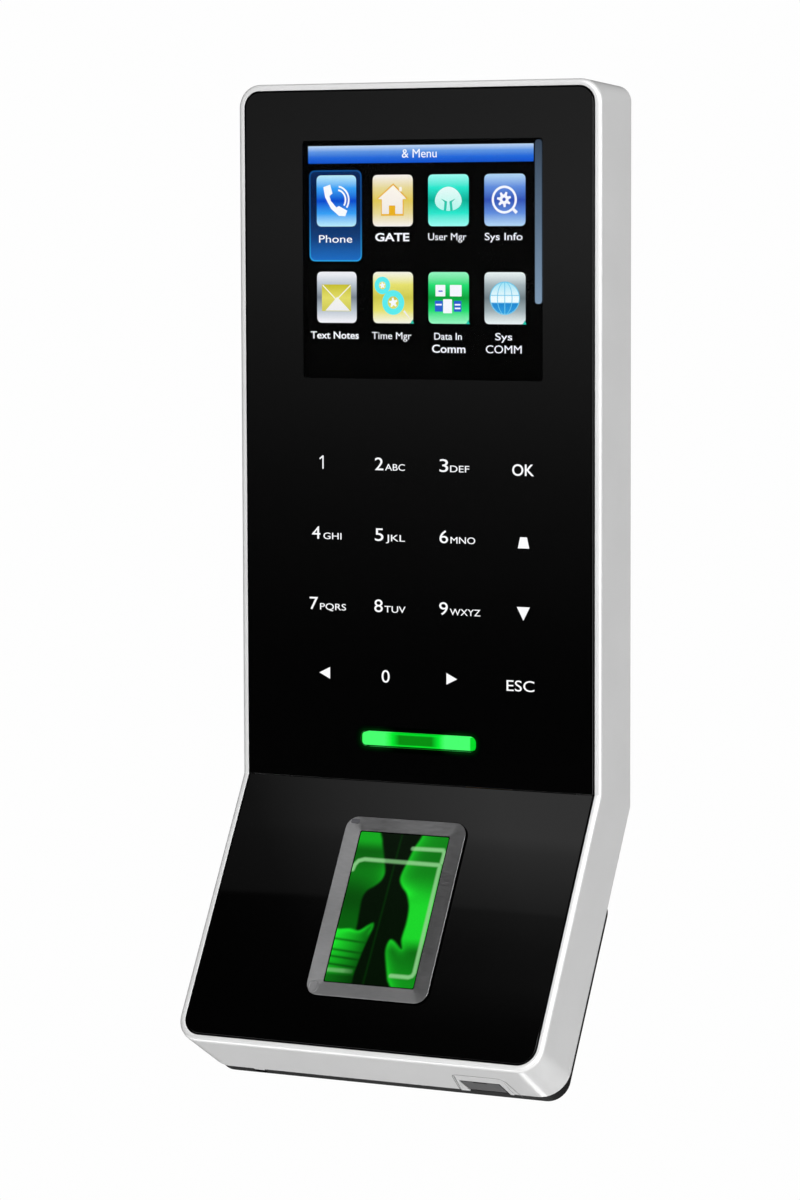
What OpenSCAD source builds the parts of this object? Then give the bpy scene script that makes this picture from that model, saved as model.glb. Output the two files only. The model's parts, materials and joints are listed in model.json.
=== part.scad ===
// Wall-mounted fingerprint and keypad terminal, in millimetres.
// +X right as seen by the user, +Y into the wall, +Z up. The wall is the plane y = 0.
// The case is a slab bent once: an upright part, and a lower part tilted out from the wall.
// Most modules work in slab coordinates: x across, y the depth behind the front face,
// z up from the bend. lower() turns them to follow the tilted part, where z runs from 0 down.

/* [Body] */
// Overall width
body_w = 78; // [70:1:90]
// Height of the upright part above the bend
upper_h = 136.2; // [125:0.2:150]
// Length of the tilted part below the bend
lower_l = 56.4; // [50:0.2:64]
// Tilt of the lower part from upright, degrees
tilt = 30.4; // [15:0.2:40]
// Depth of the silver housing
housing_d = 14.6; // [14:0.2:18]
// Thickness of the rear cover behind the housing
cover_d = 2.6; // [2.2:0.1:4]
// Outer corner radius
corner_r = 4.6; // [4:0.2:8]
// Radius of the two bottom corners
low_corner_r = 5.4; // [4:0.2:8]
// Width of the housing lip around the front glass
lip_w = 1.42; // [1:0.02:3]
// Thickness of the housing side walls
wall_t = 2.6; // [2:0.1:3.2]

/* [Front glass] */
// Thickness of the front glass
glass_t = 1.5; // [1:0.1:2]
// Gap between glass and lip
glass_gap = 0.2; // [0.1:0.05:0.5]
// Seam between the upper glass and the lower panel
seam = 0.08; // [0.04:0.02:0.3]
// Adhesive thickness
tape_t = 0.4; // [0.2:0.1:0.6]
// Thickness of the shelf behind the glass
shelf_t = 1.5; // [1:0.1:2]

/* [Display] */
// Visible display width
display_w = 51.8; // [45:0.2:54]
// Visible display height
display_h = 46.5; // [40:0.2:48]
// Height of the display centre above the bend
display_z = 101.8; // [98:0.2:104]

/* [Keypad and status light] */
// Row pitch of the touch keys
key_pz = 13.7; // [12:0.1:15]
// Height of the lowest key row above the bend
key_z0 = 20.9; // [19:0.1:23]
// Length of the status light
status_w = 24.6; // [18:0.2:30]
// Height of the status light
status_h = 3; // [2:0.1:4]
// Height of the status light above the bend
status_z = 8.4; // [7:0.1:9]

/* [Fingerprint sensor] */
// Outer width of the sensor bezel
bezel_w = 26; // [24:0.2:28]
// Outer length of the sensor bezel
bezel_l = 37.2; // [32:0.2:38]
// Width of the finger window
window_w = 19.5; // [16:0.1:20]
// Length of the finger window
window_l = 31.6; // [26:0.1:32]
// Distance from the bend to the sensor centre
sensor_s = 26.4; // [24:0.2:28]
// Height of the bezel above the panel
bezel_up = 0.6; // [0.4:0.1:1.5]

/* [Wall plate] */
// Wall plate width
plate_w = 56; // [50:1:60]
// Wall plate height
plate_h = 104; // [96:1:108]
// Wall plate thickness
plate_t = 1.5; // [1:0.1:2]
// Horizontal distance between the wall screw holes
hole_px = 48; // [40:1:48]
// Vertical distance between the wall screw holes
hole_pz = 92; // [80:1:92]
// Radius of the wall screw holes
hole_r = 2.1; // [1.5:0.1:2.5]
// Width of the cable window in the wall plate
cable_w = 34; // [28:1:36]
// Height of the cable window in the wall plate
cable_h = 40; // [30:1:44]

/* [Moving parts] */
// Radius of the flap's hinge pin
pin_r = 0.4; // [0.3:0.05:0.5]
// Running clearance between the flap and its pin
pin_gap = 0.05; // [0.02:0.01:0.1]
// Clearance around the two push plungers
plunger_gap = 0.3; // [0.2:0.05:0.5]

/* [Hidden] */
$fn = 48;

wall_gap = 0.3;
cover_back = housing_d + cover_d;
front_y = -(cover_back + wall_gap);
plate_mid = 68;
knee_z = -plate_mid;
half_w = body_w / 2;
miter = tan(tilt / 2);
over = 1;

// depths behind the front face
shelf_n0 = glass_t + tape_t;
shelf_n1 = shelf_n0 + shelf_t;
touch_n1 = shelf_n1 + 1;
frame_n1 = 6.2;
board_n0 = 7.2;
board_n1 = board_n0 + 1.6;
floor_n0 = 13.6;
floor_n1 = 15.6;
boss_n1 = 13.3;
screw_seat_n = 15.4;
rim_n0 = 13.7;
plate_n0 = cover_back + wall_gap - plate_t;

// housing cavity and rear cover
cavity_w = half_w - wall_t;
cover_side = 1.8;
cover_foot = 0.3;
foot_side = 1.1;
foot_top = 14;
cover_low_r = low_corner_r - foot_side - 0.2;
pocket_w = half_w - lip_w;
glass_w = pocket_w - glass_gap;
glass_r = corner_r - lip_w - glass_gap;
low_glass_r = low_corner_r - lip_w - glass_gap;
graze = 0.01;

// fastener positions: x, z on the upright part, and x, z on the tilted part
boss_x = 32.6;
boss_z = [8, 130];
boss_low = 50;
post_x = 31;
post_z = [16, 108];
cover_screw_r = 1.2;
board_screw_r = 1.1;

// display stack
lcd_w = display_w + 3.4;
lcd_h = display_h + 4.5;
tray_w = lcd_w + 1.2;
tray_h = lcd_h + 1.4;

// keypad
key_zc = key_z0 + 1.5 * key_pz;
guide_w = 53;
guide_h = 55;
touch_w = 56.8;
touch_z0 = 3.5;
touch_z1 = 73.5;

// fingerprint sensor
platen_n = -0.4;
collar_w = bezel_w - 2.6;
collar_l = bezel_l - 2.6;
shell_w = 29;
shell_l = 39;
shell_n1 = 12.4;
cable_x = 10;
ribbon_n = 11;

// service port in the bottom end wall
port_x = 23.3;
flap_w = 8;
flap_n0 = 8.8;
flap_t = 1;
flap_axis_n = 13.2;
flap_axis_s = lower_l - 0.8;
flap_barrel_r = 0.8;
flap_gap = 0.3;
notch_n0 = 5.9;
notch = [[19.0, notch_n0], [29.2, notch_n0], [28.4, housing_d], [17.0, housing_d]];
socket_w = 7.5;
socket_h = 2.6;
socket_n0 = 10.2;
service_x = [17.5, 29.2];
reset_s = 40;

// wall plate
hook_x = 24;
hook_z = [30, 104];
hook_w = 8;
hook_lip = 4.5;
hook_n0 = 11.8;
lift = 3.2;
plate_z1 = plate_mid + plate_h / 2;
tab_w = 12;
tab_n0 = 8;
lock_n = 11;
lock_r = 1.5;
tamper_x = 23;
tamper_z = 60;

silver = [0.80, 0.81, 0.82];
gloss_black = [0.03, 0.03, 0.035];
satin_black = [0.06, 0.06, 0.065];
board_green = [0.05, 0.28, 0.14];
steel = [0.62, 0.63, 0.65];
gold = [0.82, 0.66, 0.3];
cream = [0.88, 0.86, 0.8];

// ---------- placing ----------
module upright() translate([0, front_y, knee_z]) children();
module lower() rotate([-tilt, 0, 0]) children();
module both() for (s = [0, 1]) mirror([s, 0, 0]) children();

// box centred at c = [x, z], from depth n0 to n1
module block(c, n0, n1, w, h)
  translate([c[0] - w / 2, n0, c[1] - h / 2]) cube([w, n1 - n0, h]);

// cylinder along the depth at c = [x, z]
module post(c, n0, n1, r)
  translate([c[0], n1, c[1]]) rotate([90, 0, 0]) cylinder(h = n1 - n0, r = r);

module rounded_rect(w, h, r) {
  square([w - 2 * r, h], center = true);
  square([w, h - 2 * r], center = true);
  for (x = [-1, 1], z = [-1, 1]) translate([x * (w / 2 - r), z * (h / 2 - r)]) circle(r);
}

module plate(c, n0, n1, w, h, r)
  translate([c[0], n1, c[1]]) rotate([90, 0, 0])
    linear_extrude(n1 - n0) rounded_rect(w, h, r);

// what a rounded corner takes off: the corner at the origin, material towards -x and -z.
// The arc is a hair oversize, so it crosses the flat sides instead of grazing them.
module corner_cut(r, n0, n1)
  translate([0, n1 + over, 0]) rotate([90, 0, 0]) linear_extrude(n1 - n0 + 2 * over)
    difference() {
      translate([-r, -r]) square(r + over);
      translate([-r, -r]) circle(r + graze);
    }

// side profile in [depth, z], drawn across the full width 2 * hw
module across(hw, points)
  rotate([90, 0, 90]) linear_extrude(2 * hw, center = true) polygon(points);

function low_point(s, n) = [-s * sin(tilt) + n * cos(tilt), -s * cos(tilt) - n * sin(tilt)];

// the bent slab between depths n0 and n1: top corners of radius r, bottom corners of radius rb
module bent(n0, n1, hw, top, len, r, rb) difference() {
  across(hw, [[n0, top], [n0, -n0 * miter], low_point(len, n0), low_point(len, n1),
    [n1, -n1 * miter], [n1, top]]);
  both() {
    translate([hw, 0, top]) corner_cut(r, n0, n1);
    lower() translate([hw, 0, -len]) mirror([0, 0, 1]) corner_cut(rb, n0, n1);
  }
}

// ---------- housing ----------
module front_housing() color(silver) upright() difference() {
  union() {
    difference() {
      bent(0, housing_d, half_w, upper_h, lower_l, corner_r, low_corner_r);
      bent(-over, shelf_n0, pocket_w, upper_h - lip_w, lower_l - lip_w, corner_r - lip_w,
        low_corner_r - lip_w);
      bent(shelf_n1, housing_d + over, cavity_w, upper_h - wall_t, lower_l - wall_t,
        corner_r - wall_t, low_corner_r - wall_t);
    }
    for (z = boss_z) both() post([boss_x, z], shelf_n0, boss_n1, 3);
    for (z = post_z) both() post([post_x, z], shelf_n0, board_n0, 2.4);
    lower() {
      both() post([boss_x, -boss_low], shelf_n0, boss_n1, 3);
      for (x = service_x) post([x + (x < port_x ? 2.2 : -2.2), -31], shelf_n0, 9.2, 1.9);
      // locating lug that shows in the rear cover's bottom edge
      translate([-28.5, boss_n1, 0.4 - lower_l]) cube([2.2, 16.6 - boss_n1, wall_t - 0.8]);
    }
  }
  block([0, display_z], 0, shelf_n1 + over, lcd_w + 0.6, lcd_h + 0.6);
  block([0, key_zc], 0, shelf_n1 + over, guide_w + 3, guide_h + 1);
  plate([0, status_z], 0, shelf_n1 + over, status_w + 1.4, status_h + 1.4, status_h / 2);
  for (z = boss_z) both() post([boss_x, z], shelf_n1 + over, boss_n1 + over, cover_screw_r);
  for (z = post_z) both() post([post_x, z], shelf_n1 + 0.4, board_n0 + over, board_screw_r);
  lower() {
    both() post([boss_x, -boss_low], shelf_n1 + over, boss_n1 + over, cover_screw_r);
    for (x = service_x) post([x + (x < port_x ? 2.2 : -2.2), -31], 5, 9.2 + over,
      board_screw_r);
    plate([0, -sensor_s], 0, shelf_n1 + over, collar_w + 0.6, collar_l + 0.6, 1.9);
    // notch for the service port insert, open to the rear edge
    translate([0, 0, -lower_l - over]) linear_extrude(wall_t + 2 * over)
      polygon([notch[0], notch[1], notch[2], notch[2] + [0, over], notch[3] + [0, over],
        notch[3]]);
  }
  // locking screw hole in the top wall
  translate([0, lock_n, upper_h - wall_t - over]) cylinder(h = wall_t + 2 * over, r = 1.7);
  translate([0, lock_n, upper_h - 1.7]) cylinder(h = 1.7 + over, r = 2.95);
}

module upper_front_glass() color(gloss_black) upright() difference() {
  across(glass_w, [[0, upper_h - lip_w - glass_gap], [0, seam],
    [glass_t, seam - glass_t * miter], [glass_t, upper_h - lip_w - glass_gap]]);
  both() translate([glass_w, 0, upper_h - lip_w - glass_gap])
    corner_cut(glass_r, 0, glass_t);
  plate([0, status_z], -over, glass_t + over, status_w + 0.5, status_h + 0.5,
    status_h / 2 + 0.2);
}

module lower_front_panel() color(gloss_black) upright() lower() difference() {
  across(glass_w, [[0, -seam], [0, -lower_l + lip_w + glass_gap],
    [glass_t, -lower_l + lip_w + glass_gap], [glass_t, glass_t * miter - seam]]);
  both() translate([glass_w, 0, -lower_l + lip_w + glass_gap])
    mirror([0, 0, 1]) corner_cut(low_glass_r, 0, glass_t);
  plate([0, -sensor_s], -over, glass_t + over, collar_w + 0.4, collar_l + 0.4, 1.8);
}

module tape_frame(c, w, h, rim) difference() {
  plate(c, glass_t, shelf_n0, w, h, 2.5);
  plate(c, glass_t - over, shelf_n0 + over, w - 2 * rim, h - 2 * rim, 1);
}

module upper_adhesive() color([0.12, 0.12, 0.12]) upright()
  tape_frame([0, upper_h / 2], body_w - 6, upper_h - 6, 3);

module lower_adhesive() color([0.12, 0.12, 0.12]) upright() lower()
  tape_frame([0, -lower_l / 2], body_w - 6, lower_l - 6, 3);

// ---------- display ----------
module display_panel() color([0.08, 0.09, 0.11]) upright()
  block([0, display_z], shelf_n0, shelf_n1, lcd_w, lcd_h);

module display_backlight() color([0.92, 0.92, 0.9]) upright()
  block([0, display_z], shelf_n1, frame_n1 - 0.5, lcd_w, lcd_h);

module display_frame() color(steel) upright() difference() {
  block([0, display_z], shelf_n1, frame_n1, tray_w, tray_h);
  block([0, display_z], shelf_n1 - over, frame_n1 - 0.5, lcd_w + 0.1, lcd_h + 0.1);
}

module display_cable() color([0.75, 0.5, 0.2]) upright() across(9, [
  [frame_n1, 82], [frame_n1, 70], [board_n0 - 0.9, 66], [board_n0 - 0.9, 60],
  [board_n0 - 0.7, 60], [board_n0 - 0.7, 66.1], [frame_n1 + 0.2, 70.1], [frame_n1 + 0.2, 82]]);

// ---------- keypad and status light ----------
module keypad_light_guide() color([0.85, 0.88, 0.9, 0.6]) upright()
  block([0, key_zc], shelf_n0 + 0.1, shelf_n1 - 0.3, guide_w, guide_h);

module touch_key_board() color(board_green) upright()
  block([0, (touch_z0 + touch_z1) / 2], shelf_n1, touch_n1, touch_w, touch_z1 - touch_z0);

module key_leds() color([0.95, 0.93, 0.75]) upright() both() for (i = [0:3])
  block([guide_w / 2 + 0.75, key_z0 + i * key_pz], shelf_n1 - 1, shelf_n1, 1, 2.4);

module status_light_bar() color([0.15, 0.8, 0.25, 0.8]) upright()
  plate([0, status_z], 0.15, shelf_n1 - 0.95, status_w, status_h, status_h / 2 - 0.01);

module status_leds() color([0.7, 0.95, 0.7]) upright() for (i = [-1:1])
  block([i * 8, status_z], shelf_n1 - 0.8, shelf_n1, 2.6, 1.6);

// ---------- card reader antenna ----------
antenna_n = touch_n1 + 0.6;
module ring(c, n0, n1, w, h, rim) difference() {
  plate(c, n0, n1, w, h, 3);
  plate(c, n0 - over, n1 + over, w - 2 * rim, h - 2 * rim, 2);
}

module card_antenna_board() color(board_green) upright()
  ring([0, 42], antenna_n, antenna_n + 0.8, 56, 58, 6);

module card_antenna_coil() color([0.78, 0.45, 0.25]) upright()
  ring([0, 42], antenna_n - 0.2, antenna_n, 54, 56, 3.5);

// ---------- main board ----------
module main_board() color(board_green) upright() difference() {
  block([0, 62], board_n0, board_n1, 66, 100);
  for (z = post_z) both() post([post_x, z], board_n0 - over, board_n1 + over, 1.3);
}

module shield_can() color(steel) upright() difference() {
  block([-6, 29], board_n1, board_n1 + 2.4, 22, 18);
  block([-6, 29], board_n1 - over, board_n1 + 2.1, 21.4, 17.4);
}

module processor() color([0.1, 0.1, 0.11]) upright()
  block([-6, 29], board_n1, board_n1 + 1.2, 13, 13);

module memory_chips() color([0.1, 0.1, 0.11]) upright() for (z = [24, 36])
  block([13, z], board_n1, board_n1 + 1, 10, 8);

module lock_relay() color([0.15, 0.2, 0.35]) upright()
  block([12, 98], board_n1, board_n1 + 4.2, 7.4, 15);

module coin_cell_holder() color([0.12, 0.12, 0.13]) upright() difference() {
  post([-6, 98], board_n1, board_n1 + 3, 11.2);
  post([-6, 98], board_n1 + 0.6, board_n1 + 3 + over, 10.1);
  block([-6, 110], board_n1 + 0.6, board_n1 + 3 + over, 12, 10);
}

module coin_cell() color(steel) upright() {
  post([-6, 98], board_n1 + 0.6, board_n1 + 3.2, 10);
  post([-6, 98], board_n1 + 3.2, board_n1 + 3.8, 9.2);
}

// flat-cable sockets: display on the board's front, sensor cable on the board's back and
// on the sensor board
module cable_connectors() color(cream) upright() {
  block([0, 63], board_n0 - 0.7, board_n0, 20, 5);
  block([cable_x, 15.5], board_n1, ribbon_n, 12, 4);
  lower() block([cable_x, -3.9], ribbon_n + 0.3, shell_n1, 12, 3);
}

// open-topped plug header with n pins at 2 mm pitch
header_z = [62, 75];
module header(x, z, pins) difference() {
  block([x, z], board_n1, board_n1 + 6, pins * 2 + 3, 6);
  block([x, z], board_n1 + 1.4, board_n1 + 6 + over, pins * 2 + 1.4, 4.4);
}

module power_header() color(cream) upright() header(-10, header_z[1], 2);
module network_header() color(cream) upright() header(4, header_z[1], 6);
module lock_header() color(cream) upright() header(-6, header_z[0], 5);
module reader_header() color(cream) upright() header(9, header_z[0], 4);

module pin_row(x, z, pins) for (i = [0:pins - 1])
  block([x + (i - (pins - 1) / 2) * 2, z], board_n1 + 1.4, board_n1 + 5, 0.5, 0.5);

module header_pins() color(gold) upright() {
  pin_row(-10, header_z[1], 2);
  pin_row(4, header_z[1], 6);
  pin_row(-6, header_z[0], 5);
  pin_row(9, header_z[0], 4);
}

module screw(c, seat, tip, r) {
  post(c, tip, seat, r);
  difference() {
    post(c, seat, seat + 1.4, r + 1.1);
    post(c, seat + 0.6, seat + 1.4 + over, r - 0.2);
  }
}

module board_screws() color(steel) upright() {
  for (z = post_z) both() screw([post_x, z], board_n1, 4.2, board_screw_r);
  lower() for (x = service_x)
    screw([x + (x < port_x ? 2.2 : -2.2), -31], socket_n0, 5.4, board_screw_r);
}

// ---------- tamper switch ----------
module tamper_switch() color([0.1, 0.1, 0.11]) upright() difference() {
  block([tamper_x, tamper_z], board_n1, board_n1 + 3.4, 6, 6);
  post([tamper_x, tamper_z], board_n1 + 0.8, board_n1 + 3.4 + over, 1.05);
}

module tamper_plunger() color([0.85, 0.2, 0.15]) upright()
  post([tamper_x, tamper_z], board_n1 + 2, plate_n0 - 0.05, 1);

// ---------- fingerprint sensor ----------
module sensor_bezel() color([0.32, 0.32, 0.33]) upright() lower() difference() {
  union() {
    plate([0, -sensor_s], -bezel_up, 0, bezel_w, bezel_l, 2.6);
    plate([0, -sensor_s], -0.1, shelf_n1, collar_w, collar_l, 1.6);
  }
  plate([0, -sensor_s], -bezel_up - over, shelf_n1 + over, window_w, window_l, 0.3);
}

module sensor_gasket() color([0.08, 0.08, 0.08]) upright() lower() difference() {
  plate([0, -sensor_s], shelf_n1, shelf_n1 + 0.6, shell_w, shell_l, 2);
  plate([0, -sensor_s], shelf_n1 - over, shelf_n1 + 0.6 + over, 25.4, 35.6, 1.5);
}

// glass prism: the finger rests on its flat front, the back slopes
module sensor_platen() color([0.2, 0.75, 0.3, 0.6]) upright() lower()
  across(window_w / 2 - 0.1, [[platen_n, -sensor_s + window_l / 2 - 0.1],
    [platen_n, -sensor_s - window_l / 2 + 0.1], [9, -sensor_s - window_l / 2 + 0.1],
    [5, -sensor_s + window_l / 2 - 0.1]]);

module sensor_housing() color(satin_black) upright() lower() difference() {
  plate([0, -sensor_s], shelf_n1 + 0.6, shell_n1, shell_w, shell_l, 2);
  plate([0, -sensor_s], 0, shell_n1 + over, window_w + 2, window_l + 1.4, 1);
}

module sensor_board() color(board_green) upright() lower() {
  plate([0, -sensor_s], shell_n1, shell_n1 + 1, shell_w - 1, shell_l - 1, 1);
  block([cable_x, -5], shell_n1, shell_n1 + 1, 8, 6);
}

module sensor_camera() color([0.12, 0.12, 0.14]) upright() lower() {
  post([0, -sensor_s + 8], 9.2, shell_n1, 3);
  block([0, -sensor_s + 8], 10.6, shell_n1, 8, 8);
}

module sensor_leds() color([0.5, 0.95, 0.5]) upright() lower()
  for (x = [-1, 1], z = [-8, -13]) block([x * 6, -sensor_s + z], 11.4, shell_n1, 2, 1.6);

module sensor_cable() color([0.75, 0.5, 0.2]) upright()
  translate([cable_x, 0, 0]) across(5, [[ribbon_n, 17], [ribbon_n, -ribbon_n * miter],
    low_point(5, ribbon_n), low_point(5, ribbon_n + 0.3),
    [ribbon_n + 0.3, -(ribbon_n + 0.3) * miter], [ribbon_n + 0.3, 17]]);

// ---------- speaker ----------
speaker_c = [-26, -28];
module speaker() color([0.2, 0.2, 0.22]) upright() lower() difference() {
  post(speaker_c, 10.8, 14.3, 8.5);
  translate([speaker_c[0], 14.3 + over, speaker_c[1]]) rotate([90, 0, 0])
    cylinder(h = 1.8, r1 = 7.4, r2 = 4.5);
}

// ---------- service board and port ----------
module service_board() color(board_green) upright() lower() difference() {
  translate([service_x[0], 9.2, -53]) cube([service_x[1] - service_x[0], 1, 25]);
  for (x = service_x) post([x + (x < port_x ? 2.2 : -2.2), -31], 8, 11, 1.25);
}

module service_socket() color(steel) upright() lower() difference() {
  translate([port_x - socket_w / 2, socket_n0, -lower_l + 1.5])
    cube([socket_w, socket_h, 5.6]);
  translate([port_x - socket_w / 2 + 0.3, socket_n0 + 0.3, -lower_l + 1.5 - over])
    cube([socket_w - 0.6, socket_h - 0.6, 5.3 + over]);
}

module socket_tongue() color([0.1, 0.1, 0.1]) upright() lower()
  translate([port_x - 1.9, socket_n0 + 1.1, -lower_l + 2.2]) cube([3.8, 0.6, 4.6]);

module reset_switch() color([0.1, 0.1, 0.11]) upright() lower() difference() {
  block([port_x, -reset_s], socket_n0, 13, 6, 6);
  post([port_x, -reset_s], 11, 13 + over, 1.35);
}

module reset_button() color([0.75, 0.72, 0.65]) upright() lower()
  post([port_x, -reset_s], 12, 14.2, 1.3);

module port_insert() color(silver) upright() lower() difference() {
  translate([0, 0, -lower_l]) linear_extrude(wall_t)
    polygon([notch[0] + [0.12, 0.1], notch[1] + [-0.12, 0.1], notch[2] + [-0.12, -0.05],
      notch[3] + [0.12, -0.05]]);
  // pocket for the flap, its barrel, and the socket behind them
  translate([port_x - flap_w / 2 - flap_gap, flap_n0 - flap_gap, -lower_l - over])
    cube([flap_w + 2 * flap_gap, housing_d, flap_t + flap_gap + over]);
  translate([port_x - flap_w / 2 - flap_gap, flap_axis_n - flap_barrel_r - flap_gap,
    -lower_l - over]) cube([flap_w + 2 * flap_gap, housing_d, 1.95 + over]);
  translate([port_x - socket_w / 2 - 0.2, socket_n0 - 0.2, -lower_l - over])
    cube([socket_w + 0.4, socket_h + 0.4, wall_t + 2 * over]);
  translate([port_x - 5, flap_axis_n, -flap_axis_s]) rotate([0, 90, 0])
    cylinder(h = 10, r = pin_r);
}

module port_flap() color([0.22, 0.22, 0.23]) upright() lower() difference() {
  union() {
    translate([port_x - flap_w / 2, flap_n0, -lower_l])
      cube([flap_w, flap_axis_n - flap_n0, flap_t]);
    translate([port_x - flap_w / 2, flap_axis_n, -flap_axis_s]) rotate([0, 90, 0])
      cylinder(h = flap_w, r = flap_barrel_r);
  }
  translate([port_x - flap_w / 2 - over, flap_axis_n, -flap_axis_s]) rotate([0, 90, 0])
    cylinder(h = flap_w + 2 * over, r = pin_r + pin_gap);
  // finger-nail scoop at the free edge
  translate([port_x - 1.5, flap_n0 - over, -lower_l - over]) cube([3, over + 0.5, over + 0.4]);
}

module flap_pin() color(steel) upright() lower()
  translate([port_x - 4.9, flap_axis_n, -flap_axis_s]) rotate([0, 90, 0])
    cylinder(h = 9.8, r = pin_r);

// ---------- rear cover ----------
module rear_cover() color(satin_black) upright() difference() {
  union() {
    bent(housing_d, cover_back, half_w - cover_side, upper_h - cover_side,
      lower_l - cover_foot, corner_r - cover_side, cover_low_r);
    // the foot of the cover is wider, so that its edge shows below the housing
    lower() plate([0, -(foot_top + lower_l - cover_foot) / 2], housing_d, cover_back,
      2 * (half_w - foot_side), lower_l - cover_foot - foot_top, cover_low_r);
    difference() {
      bent(rim_n0, housing_d, cavity_w - 0.3, upper_h - wall_t - 0.3,
        lower_l - wall_t - 0.3, corner_r - wall_t, low_corner_r - wall_t);
      bent(rim_n0 - over, housing_d, cavity_w - 1.5, upper_h - wall_t - 1.5,
        lower_l - wall_t - 1.5, 1.5, 1.5);
    }
    block([0, plate_mid], floor_n0, housing_d, plate_w + 5.2, plate_h + 5.2);
    for (z = boss_z) both() post([boss_x, z], boss_n1 + 0.1, housing_d, 3);
    lower() {
      both() post([boss_x, -boss_low], boss_n1 + 0.1, housing_d, 3);
      difference() {
        post(speaker_c, 12.6, housing_d, 9.8);
        post(speaker_c, 12, housing_d, 8.7);
      }
    }
  }
  // wall plate recess, cable window, hook slots, lock tab slot, tamper hole
  block([0, plate_mid], floor_n1, cover_back + over, plate_w + 1.2, plate_h + 1.2);
  block([0, plate_mid], floor_n0 - over, floor_n1 + over, 32, 30);
  for (z = hook_z) both() translate([hook_x - hook_w / 2 - 0.3, floor_n0 - over, z - lift - 0.3])
    cube([hook_w + 0.6, floor_n1 - floor_n0 + 2 * over, lift + 0.3 + plate_t + 0.1]);
  translate([-tab_w / 2 - 0.3, floor_n0 - over, plate_z1 - 8])
    cube([tab_w + 0.6, floor_n1 - floor_n0 + 2 * over, 8.3]);
  post([tamper_x, tamper_z], floor_n0 - over, floor_n1 + over, 1 + plunger_gap);
  for (z = boss_z) both() cover_screw_hole([boss_x, z]);
  lower() {
    both() cover_screw_hole([boss_x, -boss_low]);
    post([port_x, -reset_s], housing_d - over, cover_back + over, 1.2);
    post(speaker_c, housing_d - over, cover_back + over, 0.9);
    for (a = [0:60:300]) post(speaker_c + 4 * [cos(a), sin(a)], housing_d - over,
      cover_back + over, 0.9);
    // slot for the housing's locating lug
    translate([-28.7, housing_d - 3, -lower_l]) cube([2.6, 5.2, wall_t + 0.5]);
  }
}

module cover_screw_hole(c) {
  post(c, boss_n1 - over, cover_back + over, 1.5);
  post(c, screw_seat_n, cover_back + over, 2.6);
}

module cover_screws() color(steel) upright() {
  for (z = boss_z) both() screw([boss_x, z], screw_seat_n, 6, cover_screw_r);
  lower() both() screw([boss_x, -boss_low], screw_seat_n, 6, cover_screw_r);
}

// ---------- wall plate ----------
module wall_plate() color(steel) upright() difference() {
  union() {
    plate([0, plate_mid], plate_n0, plate_n0 + plate_t, plate_w, plate_h, 3);
    for (z = hook_z) both() {
      translate([hook_x - hook_w / 2, hook_n0, z])
        cube([hook_w, plate_n0 + 0.5 - hook_n0, plate_t]);
      translate([hook_x - hook_w / 2, hook_n0, z]) cube([hook_w, plate_t, hook_lip]);
    }
    translate([-tab_w / 2, tab_n0, plate_z1 - plate_t])
      cube([tab_w, plate_n0 + 0.5 - tab_n0, plate_t]);
  }
  plate([0, plate_mid], plate_n0 - over, plate_n0 + plate_t + over, cable_w, cable_h, 2);
  for (x = [-1, 1], z = [-1, 1]) {
    c = [x * hole_px / 2, plate_mid + z * hole_pz / 2];
    post(c, plate_n0 - over, plate_n0 + plate_t + over, hole_r);
    translate([c[0], plate_n0 + 1, c[1]]) rotate([90, 0, 0])
      cylinder(h = 1.2, r1 = hole_r, r2 = hole_r + 1.9);
  }
  translate([0, lock_n, plate_z1 - plate_t - over])
    cylinder(h = plate_t + 2 * over, r = lock_r + 0.1);
}

module lock_nut() color(gold) upright() difference() {
  translate([0, lock_n, plate_z1 - plate_t - 2.3]) cylinder(h = 2.3, r = 3, $fn = 6);
  translate([0, lock_n, plate_z1 - plate_t - 2.3 - over])
    cylinder(h = 2.3 + 2 * over, r = lock_r);
}

module security_screw() color(steel) upright() difference() {
  union() {
    translate([0, lock_n, upper_h - 1.7]) cylinder(h = 1.5, r = 2.75);
    translate([0, lock_n, plate_z1 - plate_t - 2.6])
      cylinder(h = upper_h - 1.7 - plate_z1 + plate_t + 2.6, r = lock_r);
  }
  translate([0, lock_n, upper_h - 1.2]) cylinder(h = 1.2, r = 1.2, $fn = 6);
}

front_housing();
upper_front_glass();
lower_front_panel();
upper_adhesive();
lower_adhesive();
display_panel();
display_backlight();
display_frame();
display_cable();
keypad_light_guide();
touch_key_board();
key_leds();
status_light_bar();
status_leds();
card_antenna_board();
card_antenna_coil();
main_board();
shield_can();
processor();
memory_chips();
lock_relay();
coin_cell_holder();
coin_cell();
cable_connectors();
power_header();
network_header();
lock_header();
reader_header();
header_pins();
board_screws();
tamper_switch();
tamper_plunger();
sensor_bezel();
sensor_gasket();
sensor_platen();
sensor_housing();
sensor_board();
sensor_camera();
sensor_leds();
sensor_cable();
speaker();
service_board();
service_socket();
socket_tongue();
reset_switch();
reset_button();
port_insert();
port_flap();
flap_pin();
rear_cover();
cover_screws();
wall_plate();
lock_nut();
security_screw();
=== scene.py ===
"""Looks of a wall-mounted fingerprint and keypad terminal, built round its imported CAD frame.

Slab coordinates, in millimetres: x across, n the depth behind the front face, v up from the bend.
The upright part has v above 0; on the tilted part v runs below 0.
"""

import json
import math

import bmesh
import bpy
import numpy as np
from mathutils import Matrix, Vector


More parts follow.
